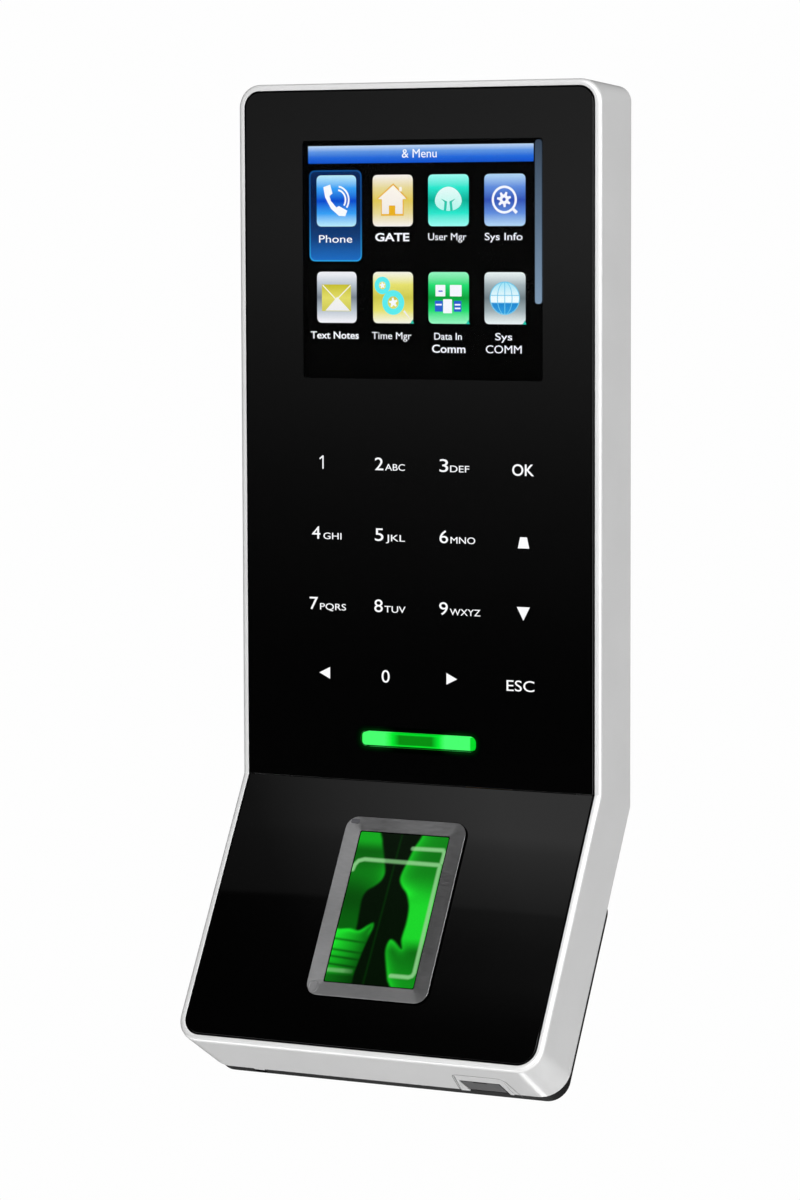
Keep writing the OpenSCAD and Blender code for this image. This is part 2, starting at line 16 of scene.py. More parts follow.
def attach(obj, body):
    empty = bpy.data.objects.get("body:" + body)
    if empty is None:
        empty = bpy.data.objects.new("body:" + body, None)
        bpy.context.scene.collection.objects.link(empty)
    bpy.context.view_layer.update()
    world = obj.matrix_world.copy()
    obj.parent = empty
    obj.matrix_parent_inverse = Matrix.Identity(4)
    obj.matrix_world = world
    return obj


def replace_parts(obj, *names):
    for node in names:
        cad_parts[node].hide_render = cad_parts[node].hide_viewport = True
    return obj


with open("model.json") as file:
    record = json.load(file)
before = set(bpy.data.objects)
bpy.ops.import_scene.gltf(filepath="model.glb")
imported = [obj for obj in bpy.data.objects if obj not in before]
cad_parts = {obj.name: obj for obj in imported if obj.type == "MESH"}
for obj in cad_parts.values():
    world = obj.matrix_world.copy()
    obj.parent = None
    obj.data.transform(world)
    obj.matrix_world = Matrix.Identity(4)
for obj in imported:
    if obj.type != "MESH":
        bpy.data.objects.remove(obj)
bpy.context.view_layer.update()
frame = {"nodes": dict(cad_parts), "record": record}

# ---------- sizes in millimetres: _W, _L and _H are sizes, _V and _N places, _R radii ----------
MM = 0.001
TILT = math.radians(30.4)
MITRE = math.tan(TILT / 2)
FRONT_Y, KNEE_Z = -17.5, -68.0
# housing: outside, walls, the shelf behind the glass, corners and how they change to the back
HALF_W, UPPER_H, LOWER_L, HOUSING_D = 39.0, 136.2, 56.4, 14.6
WALL_T, LIP_W = 2.6, 1.32
SHELF_N0, SHELF_N1, SHELF_IN = 1.9, 3.4, 6.0
CORNER_R, CORNER_DROP, TOP_DRAFT = 4.6, 1.6, 1.2
LOW_CORNER_R, CORNER_OPEN = 5.0, 0.6
FRONT_R, REAR_R, INNER_R = 0.75, 0.7, 0.16
NOTCH = ((19.0, 5.9), (29.2, 5.9), (28.32, 15.6), (16.77, 15.6))  # x, n of the port's notch
LOCK_N, LOCK_R, LOCK_HEAD_R, LOCK_HEAD_D = 11.0, 1.7, 2.95, 1.7
# front glass, its black seal, which also paints the shade in the gap round the glass, and the seam
# at the bend
GLASS_T, GLASS_BEVEL, SEAM = 1.5, 0.04, 0.08
SEAL_W, SEAL_N, SEAL_LAP = 0.34, 0.04, 0.02
STATUS_V, STATUS_W, STATUS_H, STATUS_R = 8.4, 24.6, 2.55, 0.8
# display: place and size of its opening, the pane in it, the depth of the picture
SCREEN, SCREEN_R = (1.0, 102.0, 51.7, 46.2), 0.58
PANE_T, PANE_FIT, SCREEN_N = 0.3, 0.04, 1.86
# fingerprint sensor
SENSOR_V, BEZEL_W, BEZEL_L, BEZEL_R = -26.4, 26.0, 37.2, 2.6
BEZEL_N, BEZEL_EDGE_N, WINDOW_EDGE_N, FRAME_SEAL_N = -0.6, -0.56, -0.34, -0.42
WINDOW_W, WINDOW_L, WINDOW_R = 19.5, 31.6, 0.35
PLATEN_N, PLATEN_BACK = -0.24, 1.2


# ---------- places ----------
def upper(x, v, n):
    """World point on the upright part."""
    return Vector((x, FRONT_Y + n, KNEE_Z + v)) * MM


def lower(x, v, n):
    """World point on the tilted part."""
    c, s = math.cos(TILT), math.sin(TILT)
    return Vector((x, FRONT_Y + n * c + v * s, KNEE_Z - n * s + v * c)) * MM


def on(part, x=0.0, v=0.0, n=0.0):
    """Matrix that puts local x, y, z (mm) on the part: right, up the slab, out of the front."""
    c, s = (1.0, 0.0) if part is upper else (math.cos(TILT), math.sin(TILT))
    axes = Matrix(((1, 0, 0), (0, s, -c), (0, c, s))).to_4x4()
    return Matrix.Translation(part(x, v, n)) @ axes @ Matrix.Scale(MM, 4)


# ---------- materials ----------
def lin(r, g, b):
    """sRGB 0-255 to a linear colour."""
    f = [c / 255 / 12.92 if c <= 10 else ((c / 255 + 0.055) / 1.055) ** 2.4 for c in (r, g, b)]
    return (*f, 1.0)


class Nodes:
    """A node tree with short calls."""

    def __init__(self, name):
        self.mat = bpy.data.materials.new(name)
        self.mat.use_nodes = True
        self.tree = self.mat.node_tree
        self.tree.nodes.clear()
        self.out = self.tree.nodes.new("ShaderNodeOutputMaterial")
        self.bsdf = self.tree.nodes.new("ShaderNodeBsdfPrincipled")
        self.link(self.bsdf.outputs["BSDF"], self.out.inputs["Surface"])

    def add(self, kind, **sockets):
        node = self.tree.nodes.new("ShaderNode" + kind)
        for key, value in sockets.items():
            self.feed(node.inputs[key], value)
        return node

    def link(self, a, b):
        self.tree.links.new(a, b)

    def feed(self, socket, value):
        """Links a node's output to a socket, or sets the socket to a value."""
        if isinstance(value, bpy.types.NodeSocket):
            self.link(value, socket)
        else:
            socket.default_value = value

    def coords(self, scale):
        m = self.add("Mapping", Vector=self.add("TexCoord").outputs["Object"])
        m.inputs["Scale"].default_value = scale
        return m.outputs["Vector"]

    def noise(self, size_mm, stretch=(1, 1, 1), detail=3.0):
        """Noise with grains of about size_mm."""
        k = 1 / (size_mm * MM)
        n = self.add("TexNoise", Vector=self.coords([k * s for s in stretch]))
        n.inputs["Scale"].default_value = 1.0
        n.inputs["Detail"].default_value = detail
        return n.outputs["Fac"]

    def ramp(self, fac, stops):
        r = self.add("ValToRGB", Fac=fac)
        r.color_ramp.interpolation = "LINEAR"
        e = r.color_ramp.elements
        while len(e) < len(stops):
            e.new(0.5)
        for el, (pos, col) in zip(e, stops):
            el.position, el.color = pos, col
        return r.outputs["Color"]

    def span(self, fac, a, b, lo=0.0, hi=1.0):
        """Runs from a to b while fac goes from lo to hi."""
        r = self.add("MapRange", Value=fac)
        for key, value in (("From Min", lo), ("From Max", hi), ("To Min", a), ("To Max", b)):
            r.inputs[key].default_value = value
        return r.outputs["Result"]

    def mul(self, a, b, op="MULTIPLY"):
        m = self.add("Math")
        m.operation = op
        self.feed(m.inputs[0], a)
        self.feed(m.inputs[1], b)
        return m.outputs[0]

    def axis(self, which, lo_mm, hi_mm):
        """0 to 1 along a world axis, between two places in mm."""
        s = self.add("SeparateXYZ", Vector=self.add("TexCoord").outputs["Object"])
        return self.span(s.outputs[which], 0.0, 1.0, lo_mm * MM, hi_mm * MM)


def finish(name, rgb, rough, metal=0.0, grain=0.3, bump=0.004, vary=0.06, stretch=(1, 1, 1),
           coat=0.0, spec=0.5, blotch=12.0):
    """A real surface: fine grain in colour, roughness and bump, and slow blotches over it."""
    k = Nodes(name)
    fine, slow = k.noise(grain, stretch), k.noise(blotch, detail=2.0)
    dark = tuple(c * (1 - vary) for c in rgb[:3]) + (1,)
    light = tuple(min(1, c * (1 + vary)) for c in rgb[:3]) + (1,)
    both = k.mul(k.mul(fine, 0.6), k.mul(slow, 0.4), "ADD")
    k.feed(k.bsdf.inputs["Base Color"], k.ramp(both, [(0.35, dark), (0.65, light)]))
    k.feed(k.bsdf.inputs["Roughness"], k.span(both, rough * 0.82, rough * 1.18, 0.3, 0.7))
    b = k.add("Bump", Height=fine)
    b.inputs["Strength"].default_value = 1.0
    b.inputs["Distance"].default_value = bump * MM
    k.feed(k.bsdf.inputs["Normal"], b.outputs["Normal"])
    k.bsdf.inputs["Metallic"].default_value = metal
    k.bsdf.inputs["Specular IOR Level"].default_value = spec
    if coat:
        k.bsdf.inputs["Coat Weight"].default_value = coat
        k.bsdf.inputs["Coat Roughness"].default_value = 0.12
    return k.mat


def glow(name, stops, which, lo, hi, spec=0.05):
    """A lit surface whose colour runs along one world axis, in mm, with a fine pixel grain."""
    k = Nodes(name)
    col = k.ramp(k.axis(which, lo, hi), stops)
    grain = k.span(k.noise(0.25), 0.97, 1.03, 0.3, 0.7)
    k.bsdf.inputs["Base Color"].default_value = (0, 0, 0, 1)
    k.bsdf.inputs["Roughness"].default_value = 0.4
    k.bsdf.inputs["Specular IOR Level"].default_value = spec
    k.feed(k.bsdf.inputs["Emission Color"], col)
    k.feed(k.bsdf.inputs["Emission Strength"], grain)
    return k.mat


def clear(name, tint, rough):
    """See-through plastic."""
    k = Nodes(name)
    haze = k.span(k.noise(6.0), rough * 0.7, rough * 1.3, 0.3, 0.7)
    k.bsdf.inputs["Base Color"].default_value = tint
    k.feed(k.bsdf.inputs["Roughness"], haze)
    k.bsdf.inputs["Transmission Weight"].default_value = 1.0
    k.bsdf.inputs["IOR"].default_value = 1.45
    k.bsdf.inputs["Specular IOR Level"].default_value = 0.3
    return k.mat


SLOTS = {
    "silver_paint": finish("silver_paint", lin(208, 208, 208), 0.36, 0.25, 0.12, 0.0012, 0.03,
                           coat=0.8),
    "black_tape": finish("black_tape", lin(20, 20, 20), 0.8, 0.0, 0.4, 0.03, 0.2),
    "display_glass": finish("display_glass", lin(1, 1, 1), 0.3, 0.0, 0.3, 0.001, 0.2, spec=0.02),
    "white_plastic": finish("white_plastic", lin(232, 228, 214), 0.45, 0.0, 0.25, 0.006),
    "tin_steel": finish("tin_steel", lin(196, 198, 202), 0.3, 1.0, 0.5, 0.003, 0.1,
                        (0.15, 1, 1)),
    "amber_film": finish("amber_film", lin(196, 128, 48), 0.3, 0.0, 0.6, 0.004, 0.12, coat=0.5),
    "clear_plastic": clear("clear_plastic", lin(236, 240, 244), 0.08),
    "circuit_board": finish("circuit_board", lin(16, 92, 52), 0.38, 0.0, 0.9, 0.012, 0.25,
                            coat=0.4),
    "led": finish("led", lin(238, 232, 190), 0.25, 0.0, 0.4, 0.002),
    "copper": finish("copper", lin(214, 142, 96), 0.28, 1.0, 0.4, 0.004, 0.1, (1, 1, 0.2)),
    "chip_black": finish("chip_black", lin(34, 34, 36), 0.55, 0.0, 0.15, 0.008, 0.15),
    "relay_blue": finish("relay_blue", lin(36, 52, 104), 0.4, 0.0, 0.3, 0.006),
    "gold_pin": finish("gold_pin", lin(226, 190, 104), 0.25, 1.0, 0.3, 0.003, 0.08),
    "screw_steel": finish("screw_steel", lin(204, 204, 208), 0.28, 1.0, 0.25, 0.005, 0.1),
    "plunger_red": finish("plunger_red", lin(200, 52, 40), 0.4, 0.0, 0.3, 0.005),
    "button_beige": finish("button_beige", lin(206, 200, 184), 0.45, 0.0, 0.3, 0.006),
    "bezel_grey": finish("bezel_grey", lin(138, 138, 139), 0.34, 1.0, 0.3, 0.0004, 0.05,
                         (0.2, 1, 1)),
    "bezel_edge": finish("bezel_edge", lin(176, 176, 178), 0.3, 1.0, 0.3, 0.0004, 0.05),
    "speaker_grey": finish("speaker_grey", lin(58, 58, 62), 0.75, 0.0, 0.35, 0.03, 0.2),
    "flap_grey": finish("flap_grey", lin(72, 72, 73), 0.62, 0.0, 0.25, 0.012, 0.12),
    "cover_black": finish("cover_black", lin(9, 9, 10), 0.6, 0.0, 0.28, 0.012, 0.15, spec=0.12),
    "zinc_plate": finish("zinc_plate", lin(190, 194, 200), 0.33, 1.0, 2.2, 0.006, 0.12,
                         (1, 1, 0.5), blotch=5.0),
}


def sheet_glass(name, rough, coat, see_through=False, grain_bump=0.0015):
    """Front glass: a coat gives the reflection, over black print or over a clear window."""
    k = Nodes(name)
    fine, slow = k.noise(0.2), k.noise(14.0, detail=2.0)
    k.bsdf.inputs["Specular IOR Level"].default_value = 0.0
    k.bsdf.inputs["Coat Weight"].default_value = coat
    k.bsdf.inputs["Coat Roughness"].default_value = rough
    k.bsdf.inputs["Coat IOR"].default_value = 1.5
    b = k.add("Bump", Height=k.mul(fine, slow))
    b.inputs["Strength"].default_value = 1.0
    b.inputs["Distance"].default_value = grain_bump * MM
    k.feed(k.bsdf.inputs["Coat Normal"], b.outputs["Normal"])
    if see_through:
        k.bsdf.inputs["Base Color"].default_value = (1, 1, 1, 1)
        k.feed(k.bsdf.inputs["Roughness"], k.span(slow, 0.0, 0.004, 0.3, 0.7))
        k.bsdf.inputs["Transmission Weight"].default_value = 1.0
        k.bsdf.inputs["IOR"].default_value = 1.05
    else:
        k.feed(k.bsdf.inputs["Base Color"], k.ramp(fine, [(0.3, lin(1, 1, 1)),
                                                          (0.7, lin(3, 3, 3))]))
        k.feed(k.bsdf.inputs["Roughness"], k.span(slow, 0.5, 0.7, 0.3, 0.7))
    return k.mat


SLOTS["black_glass"] = sheet_glass("black_glass", 0.09, 1.0)
deep_black = sheet_glass("black_glass_low", 0.012, 1.0, grain_bump=0.0003)
# dead-black seal finish with no shine; the seal rings in it also paint the shade in the narrow
# gaps round the glass, the display and the sensor
seal_and_gap_shade = finish("seal_and_gap_shade", lin(3, 3, 3), 0.8, 0.0, 0.3, 0.002, 0.2, spec=0.0)
screen_clear = sheet_glass("screen_clear", 0.03, 0.05, True, 0.0005)
white_light = glow("legend_white", [(0, (1, 1, 1, 1)), (1, (0.93, 0.95, 1, 1))], "Z", -70, 70)


# ---------- mesh helpers ----------
def arc(x, v, r, a0, a1, steps):
    """Points along an arc round x, v, from a0 to a1 degrees."""
    return [(x + r * math.cos(math.radians(a0 + (a1 - a0) * i / steps)),
             v + r * math.sin(math.radians(a0 + (a1 - a0) * i / steps)))
            for i in range(steps + 1)]


def disc(x, v, r, steps=32):
    return arc(x, v, r, 0, 360, steps)[:-1]


def arc_band(x, v, r0, r1, a0, a1, steps=16):
    return arc(x, v, r1, a0, a1, steps) + arc(x, v, r0, a0, a1, steps)[::-1]


def rrect(x, v, w, h, r, steps=6):
    """Loop of a rounded rectangle centred at x, v."""
    pts = []
    for q, (sx, sv) in enumerate(((1, 1), (-1, 1), (-1, -1), (1, -1))):
        for i in range(steps + 1):
            a = math.pi / 2 * (q + i / steps)
            pts.append((x + sx * (w / 2 - r) + r * math.cos(a), v + sv * (h / 2 - r)
                        + r * math.sin(a)))
    return pts


def linked(name, data):
    """A new object in the scene."""
    o = bpy.data.objects.new(name, data)
    bpy.context.scene.collection.objects.link(o)
    return o


def baked(o):
    """An object's shape as a mesh of its own, with its modifiers applied."""
    bpy.context.view_layer.update()
    return bpy.data.meshes.new_from_object(o.evaluated_get(
        bpy.context.evaluated_depsgraph_get()))


def curve_mesh(loops, thick, bevel=0.0, segments=2):
    """Closed solid of flat loops, holes by nesting, centred on local z 0."""
    c = bpy.data.curves.new("tmp", "CURVE")
    c.dimensions, c.fill_mode = "2D", "BOTH"
    c.extrude, c.bevel_depth, c.offset = thick / 2 - bevel, bevel, -bevel
    c.bevel_resolution = segments
    for loop in loops:
        s = c.splines.new("POLY")
        s.points.add(len(loop) - 1)
        for p, (x, v) in zip(s.points, loop):
            p.co = (x, v, 0, 1)
        s.use_cyclic_u = True
    o = linked("tmp", c)
    mesh = baked(o)
    bpy.data.objects.remove(o)
    bpy.data.curves.remove(c)
    return mesh


CAP_HEIGHT = 0.729  # of the built-in font, at size 1


def text_mesh(words, cap, width, bold, thick):
    """Words as a solid, centred, with capitals cap mm high and width mm wide in all."""
    c = bpy.data.curves.new("tmp", "FONT")
    c.body, c.size, c.offset, c.extrude = words, cap / CAP_HEIGHT, bold, thick / 2
    c.resolution_u = 4
    o = linked("tmp", c)
    mesh = baked(o)
    reach = [corner[0] for corner in o.bound_box]
    x0, x1 = min(reach), max(reach)
    bpy.data.objects.remove(o)
    bpy.data.curves.remove(c)
    mesh.transform(Matrix.Scale(width / (x1 - x0), 4, (1, 0, 0))
                   @ Matrix.Translation((-(x0 + x1) / 2, 0, 0)))
    return mesh


def mark_sharp(bm, sharp):
    """Marks the edges that turn by more than sharp degrees."""
    limit = math.radians(sharp)
    for e in bm.edges:
        e.smooth = len(e.link_faces) == 2 and e.calc_face_angle(0.0) < limit


def even_normals(o):
    even = o.modifiers.new("even", "WEIGHTED_NORMAL")
    even.keep_sharp, even.weight = True, 100


def solid(name, bm, mats, sharp=35.0):
    """One object from a finished bmesh, riding on the terminal."""
    for f in bm.faces:
        f.smooth = True
    mark_sharp(bm, sharp)
    mesh = bpy.data.meshes.new(name)
    bm.to_mesh(mesh)
    bm.free()
    for m in mats:
        mesh.materials.append(m)
    o = linked(name, mesh)
    even_normals(o)
    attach(o, "terminal")
    return o


def gather(name, parts, sharp=35.0):
    """One object from [(mesh, matrix, material)]."""
    bm, mats = bmesh.new(), []
    for mesh, matrix, mat in parts:
        mesh.transform(matrix)
        if mat not in mats:
            mats.append(mat)
        start = len(bm.faces)
        bm.from_mesh(mesh)
        bm.faces.ensure_lookup_table()
        for f in bm.faces[start:]:
            f.material_index = mats.index(mat)
        bpy.data.meshes.remove(mesh)
    bmesh.ops.remove_doubles(bm, verts=bm.verts, dist=1e-7)
    bmesh.ops.recalc_face_normals(bm, faces=bm.faces)
    return solid(name, bm, mats, sharp)


def slabs(name, part, loops, n0, n1, mat, bevel, segments=2):
    """A plate on one part of the slab, between the depths n0 and n1."""
    mesh = curve_mesh(loops, n1 - n0, bevel, segments)
    return gather(name, [(mesh, on(part, 0, 0, (n0 + n1) / 2), mat)], 20.0)


def hull(points):
    """A temporary solid from the hull of world points, for cutting."""
    bm = bmesh.new()
    for p in points:
        bm.verts.new(p)
    bmesh.ops.convex_hull(bm, input=bm.verts)
    mesh = bpy.data.meshes.new("cut")
    bm.to_mesh(mesh)
    bm.free()
    return linked("cut", mesh)


def cut_from(o, cutters):
    """Cuts temporary solids out of an object, then marks its edges again."""
    o.modifiers.clear()
    for c in cutters:
        m = o.modifiers.new("cut", "BOOLEAN")
        m.operation, m.solver, m.object = "DIFFERENCE", "EXACT", c
    old, o.data = o.data, baked(o)
    o.modifiers.clear()
    bpy.data.meshes.remove(old)
    bm = bmesh.new()
    bm.from_mesh(o.data)
    mark_sharp(bm, 20.0)
    bm.to_mesh(o.data)
    bm.free()
    even_normals(o)
    for c in cutters:
        bpy.data.objects.remove(c)


# ---------- silver housing: one cross-section swept round the bent outline ----------
def outline(d, n, arcs=10):
    """The slab's outline, d inside its outer edge at depth n, as world points.

    Towards the back the top corners tighten, the bottom ones open out and the top edge
    draws in.
    """
    back = min(max(n / HOUSING_D, 0.0), 1.0)
    r_top = max(CORNER_R - CORNER_DROP * back - d, 0.4)
    r_low = max(LOW_CORNER_R + CORNER_OPEN * back - d, 0.4)
    top, low = UPPER_H - TOP_DRAFT * back - d - r_top, -(LOWER_L - d - r_low)
    pts = [upper(HALF_W - d, -n * MITRE, n)]
    for quarter, part, sx, cv, r in ((0, upper, 1, top, r_top), (1, upper, -1, top, r_top),
                                     (2, lower, -1, low, r_low), (3, lower, 1, low, r_low)):
        for i in range(arcs + 1):
            a = math.pi / 2 * (quarter + i / arcs)
            pts.append(part(sx * (HALF_W - d - r) + r * math.cos(a), cv + r * math.sin(a), n))
        if quarter == 1:
            pts.append(upper(-(HALF_W - d), -n * MITRE, n))
    return pts


def rings_solid(name, loops, mat, sharp):
    """Closed ring solid from equal loops of world points, taken round its cross-section."""
    bm = bmesh.new()
    rings = [[bm.verts.new(p) for p in loop] for loop in loops]
    for a, b in zip(rings, rings[1:] + rings[:1]):
        for i in range(len(a)):
            j = (i + 1) % len(a)
            bm.faces.new((a[i], a[j], b[j], b[i]))
    bmesh.ops.recalc_face_normals(bm, faces=bm.faces)
    return solid(name, bm, [mat], sharp)


# cross-section of the frame, as d in from the outer edge and depth n
profile = (
    arc(LIP_W - INNER_R, INNER_R, INNER_R, 0, -90, 4)
    + arc(FRONT_R, FRONT_R, FRONT_R, -90, -180, 6)
    + arc(REAR_R, HOUSING_D - REAR_R, REAR_R, 180, 90, 8)
    + [(WALL_T, HOUSING_D), (WALL_T, SHELF_N1), (SHELF_IN, SHELF_N1), (SHELF_IN, SHELF_N0),
       (LIP_W, SHELF_N0)]
)
housing = rings_solid("silver_housing", [outline(d, n) for d, n in profile],
                      SLOTS["silver_paint"], 40.0)
cuts = [hull([lower(x, -LOWER_L + dv, n) for x, n in NOTCH for dv in (-1.0, WALL_T + 1)])]
for radius, deep in ((LOCK_R, WALL_T + 1), (LOCK_HEAD_R, LOCK_HEAD_D)):
    ring = disc(0, LOCK_N, radius)
    cuts.append(hull([upper(x, UPPER_H + dv, n) for x, n in ring for dv in (1.0, -deep)]))
cut_from(housing, cuts)
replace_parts(housing, "front_housing")


def end_plane(v):
    """Matrix with local x across and local y into the depth, across the lower part at v."""
    s, c = math.sin(TILT), math.cos(TILT)
    axes = Matrix(((1, 0, 0), (0, c, s), (0, -s, c))).to_4x4()
    return Matrix.Translation(lower(0, v, 0)) @ axes @ Matrix.Scale(MM, 4)


def notch_band(grow):
    """A rounded outline round the port's insert, grown outwards and open at the back."""
    return [(17.2 - grow, 13.9), (18.7 - grow, 6.5), (19.1 - grow, 5.75 - grow / 2),
            (19.8, 5.45 - grow), (28.2, 5.45 - grow), (29.0 + grow / 2, 5.8 - grow / 2),
            (29.4 + grow, 6.9), (29.55 + grow, 15.2)]


band = notch_band(0.24) + notch_band(0.12)[::-1]
gather("port_trim_line", [(curve_mesh([band], 0.03), end_plane(-LOWER_L), SLOTS["flap_grey"])])
lug = curve_mesh([rrect(-27.4, -55.35, 2.6, 1.5, 0.3)], 1.1, 0.1)
gather("cover_locating_lug", [(lug, on(lower, 0, 0, HOUSING_D + 0.45), SLOTS["silver_paint"])])

# ---------- black front: upper glass with two clear windows, and the lower panel ----------
EDGE = LIP_W + SEAL_W
GLASS_W, GLASS_R, LOW_R = HALF_W - EDGE, CORNER_R - EDGE, LOW_CORNER_R - EDGE
GLASS_TOP, GLASS_LOW = UPPER_H - EDGE, -(LOWER_L - EDGE)
upper_loop = ([(GLASS_W, SEAM)]
              + arc(GLASS_W - GLASS_R, GLASS_TOP - GLASS_R, GLASS_R, 0, 90, 10)
              + arc(-GLASS_W + GLASS_R, GLASS_TOP - GLASS_R, GLASS_R, 90, 180, 10)
              + [(-GLASS_W, SEAM)])
lower_loop = ([(-GLASS_W, -SEAM)]
              + arc(-GLASS_W + LOW_R, GLASS_LOW + LOW_R, LOW_R, 180, 270, 10)
              + arc(GLASS_W - LOW_R, GLASS_LOW + LOW_R, LOW_R, 270, 360, 10)
              + [(GLASS_W, -SEAM)])
status_hole = rrect(0, STATUS_V, STATUS_W + 0.5, STATUS_H + 0.5, 1.2)
sensor_hole = rrect(0, SENSOR_V, BEZEL_W - 2.2, BEZEL_L - 2.2, 1.8)
glass = slabs("upper_black_glass", upper, [upper_loop, status_hole],
              0.0, GLASS_T, SLOTS["black_glass"], GLASS_BEVEL)
screen_hole = curve_mesh([rrect(*SCREEN, 0.6)], 4)
screen_hole.transform(on(upper))
cut_from(glass, [linked("cut", screen_hole)])
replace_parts(glass, "upper_front_glass")
panel = slabs("lower_black_panel", lower, [lower_loop, sensor_hole],
              0.0, GLASS_T, deep_black, GLASS_BEVEL)
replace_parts(panel, "lower_front_panel")
# black seal ring between the glass and the lip; it also paints the dark shadow line of that gap
rings_solid("glass_seal_shade", [outline(d, n) for d, n in (
    (LIP_W - SEAL_LAP, SEAL_N), (EDGE + 0.05, SEAL_N), (EDGE + 0.05, SHELF_N0),
    (LIP_W - SEAL_LAP, SHELF_N0))], seal_and_gap_shade, 30.0)


def screen_loop(inset, r):
    """The display opening's outline, smaller by inset in all."""
    x, v, w, h = SCREEN
    return rrect(x, v, w - inset, h - inset, r)


slabs("screen_pane", upper, [screen_loop(PANE_FIT, SCREEN_R)], 0.0, PANE_T, screen_clear,
      0.0)
slabs("screen_edge_seal", upper, [screen_loop(0.0, SCREEN_R), screen_loop(0.3, 0.45)],
      PANE_T + 0.02, SCREEN_N - 0.01, seal_and_gap_shade, 0.0)

# ---------- key legends: lit marks level with the glass ----------
LEGEND_T = 0.06
legends = []


def legend(mesh, x, v):
    legends.append((mesh, on(upper, x, v, 0.0), white_light))


DIGIT_CAP, LETTER_CAP, DIGIT_W = 2.6, 1.34, 1.85
ROWS_V = (61.15, 47.35, 33.4, 19.6)
# each key: digit and its place, letters, their place and width
KEYS = ((("2", -8.25, "ABC", -4.8, 4.3), ("3", 5.8, "DEF", 9.2, 4.1)),
        (("4", -22.2, "GHI", -18.6, 4.0), ("5", -8.3, "JKL", -4.75, 4.15),
         ("6", 5.75, "MNO", 9.85, 5.3)),
        (("7", -22.8, "PQRS", -18.55, 5.75), ("8", -8.5, "TUV", -4.9, 4.6),
         ("9", 5.65, "WXYZ", 10.3, 6.55)))
one = [(0.16, 0), (0.42, 0), (0.42, DIGIT_CAP), (0.2, DIGIT_CAP), (-0.5, DIGIT_CAP - 0.55),
       (-0.38, DIGIT_CAP - 0.77), (0.16, DIGIT_CAP - 0.4)]
legend(curve_mesh([one], LEGEND_T), -20.9, ROWS_V[0])
for v, row in zip(ROWS_V, KEYS):
    for digit, x, letters, letters_x, width in row:
        legend(text_mesh(digit, DIGIT_CAP, DIGIT_W, 0.0, LEGEND_T), x, v)
        legend(text_mesh(letters, LETTER_CAP, width, 0.0, LEGEND_T), letters_x, v)
legend(text_mesh("0", DIGIT_CAP, 1.75, 0.0, LEGEND_T), -7.0, ROWS_V[3])
legend(text_mesh("OK", 2.3, 4.6, 0.03, LEGEND_T), 22.7, ROWS_V[0] - 0.35)
legend(text_mesh("ESC", 2.2, 5.9, 0.0, LEGEND_T), 22.1, ROWS_V[3] - 0.35)
# blunt mark up, arrow down, arrow left, arrow right
for loop in (
    [(21.58, 46.85), (23.99, 46.85), (23.5, 49.0), (22.07, 49.0)],
    [(22.73, 32.95), (24.11, 35.55), (21.35, 35.55)],
    [(-21.65, 20.95), (-19.28, 19.79), (-19.28, 22.1)],
    [(8.55, 20.95), (6.25, 22.07), (6.25, 19.84)],
):
    legend(curve_mesh([loop], LEGEND_T), 0, 0)
gather("key_legends", legends)

# ---------- display picture ----------
ICON = 0.1
ui = {}


def paint(key, mesh, mat, x=0.0, v=0.0, rise=0.0):
    """Adds a mesh to one of the picture's layers, rise in front of the display."""
    ui.setdefault(key, []).append((mesh, on(upper, x, v, SCREEN_N - rise), mat))


def flat(key, loops, mat, rise=0.0):
    paint(key, curve_mesh(loops, 0.02), mat, rise=rise)


def icon(loops, mat, over=0.0):
    flat("menu_icons", loops, mat, ICON + over)


def plain(name, r, g, b):
    return glow(name, [(0, lin(r, g, b)), (1, lin(r * 0.97, g * 0.97, b))], "X", -30, 30)


def shade(name, v0, v1, *colours):
    """Vertical run of colours, evenly spaced from v0 up to v1."""
    stops = [(i / (len(colours) - 1), lin(*c)) for i, c in enumerate(colours)]
    return glow(name, stops, "Z", KNEE_Z + v0, KNEE_Z + v1)


SHIFT = -1.0  # the picture sits left of the screen's middle
white = plain("icon_white", 250, 252, 255)
ROWS = (113.4, 94.65)
COLS = [x + SHIFT for x in (-17.3, -4.98, 7.04, 19.06)]
TILE_W, TILE_H = 8.7, 9.95
flat("menu_title_bar", [rrect(0.79 + SHIFT, 122.37, 48.6, 3.4, 0.1)],
     shade("title_blue", 120.67, 124.08, (10, 80, 205), (35, 105, 215), (95, 150, 225),
           (190, 215, 245)))
paint("menu_title_text", text_mesh("& Menu", 1.75, 7.5, 0.0, 0.03), white, 0.79 + SHIFT, 121.65,
      0.06)
flat("menu_scroll_bar", [rrect(26.1 + SHIFT, 109.2, 1.45, 31.2, 0.6)],
     shade("scroll_slate", 93.6, 124.8, (125, 150, 175), (90, 112, 135), (52, 66, 84)))
x, v, w, h = -17.54 + SHIFT, 110.5, 11.5, 17.7
flat("menu_highlight", [rrect(x, v, w, h, 1.2)],
     shade("highlight_blue", v - h / 2, v + h / 2, (28, 108, 196), (16, 62, 122), (8, 34, 76),
           (5, 24, 60), (8, 40, 90)))
flat("menu_highlight", [rrect(x, v, w, h, 1.2), rrect(x, v, w - 0.5, h - 0.5, 1.0)],
     shade("highlight_edge", v - h / 2, v + h / 2, (40, 160, 225), (14, 84, 160), (10, 80, 150)),
     0.03)
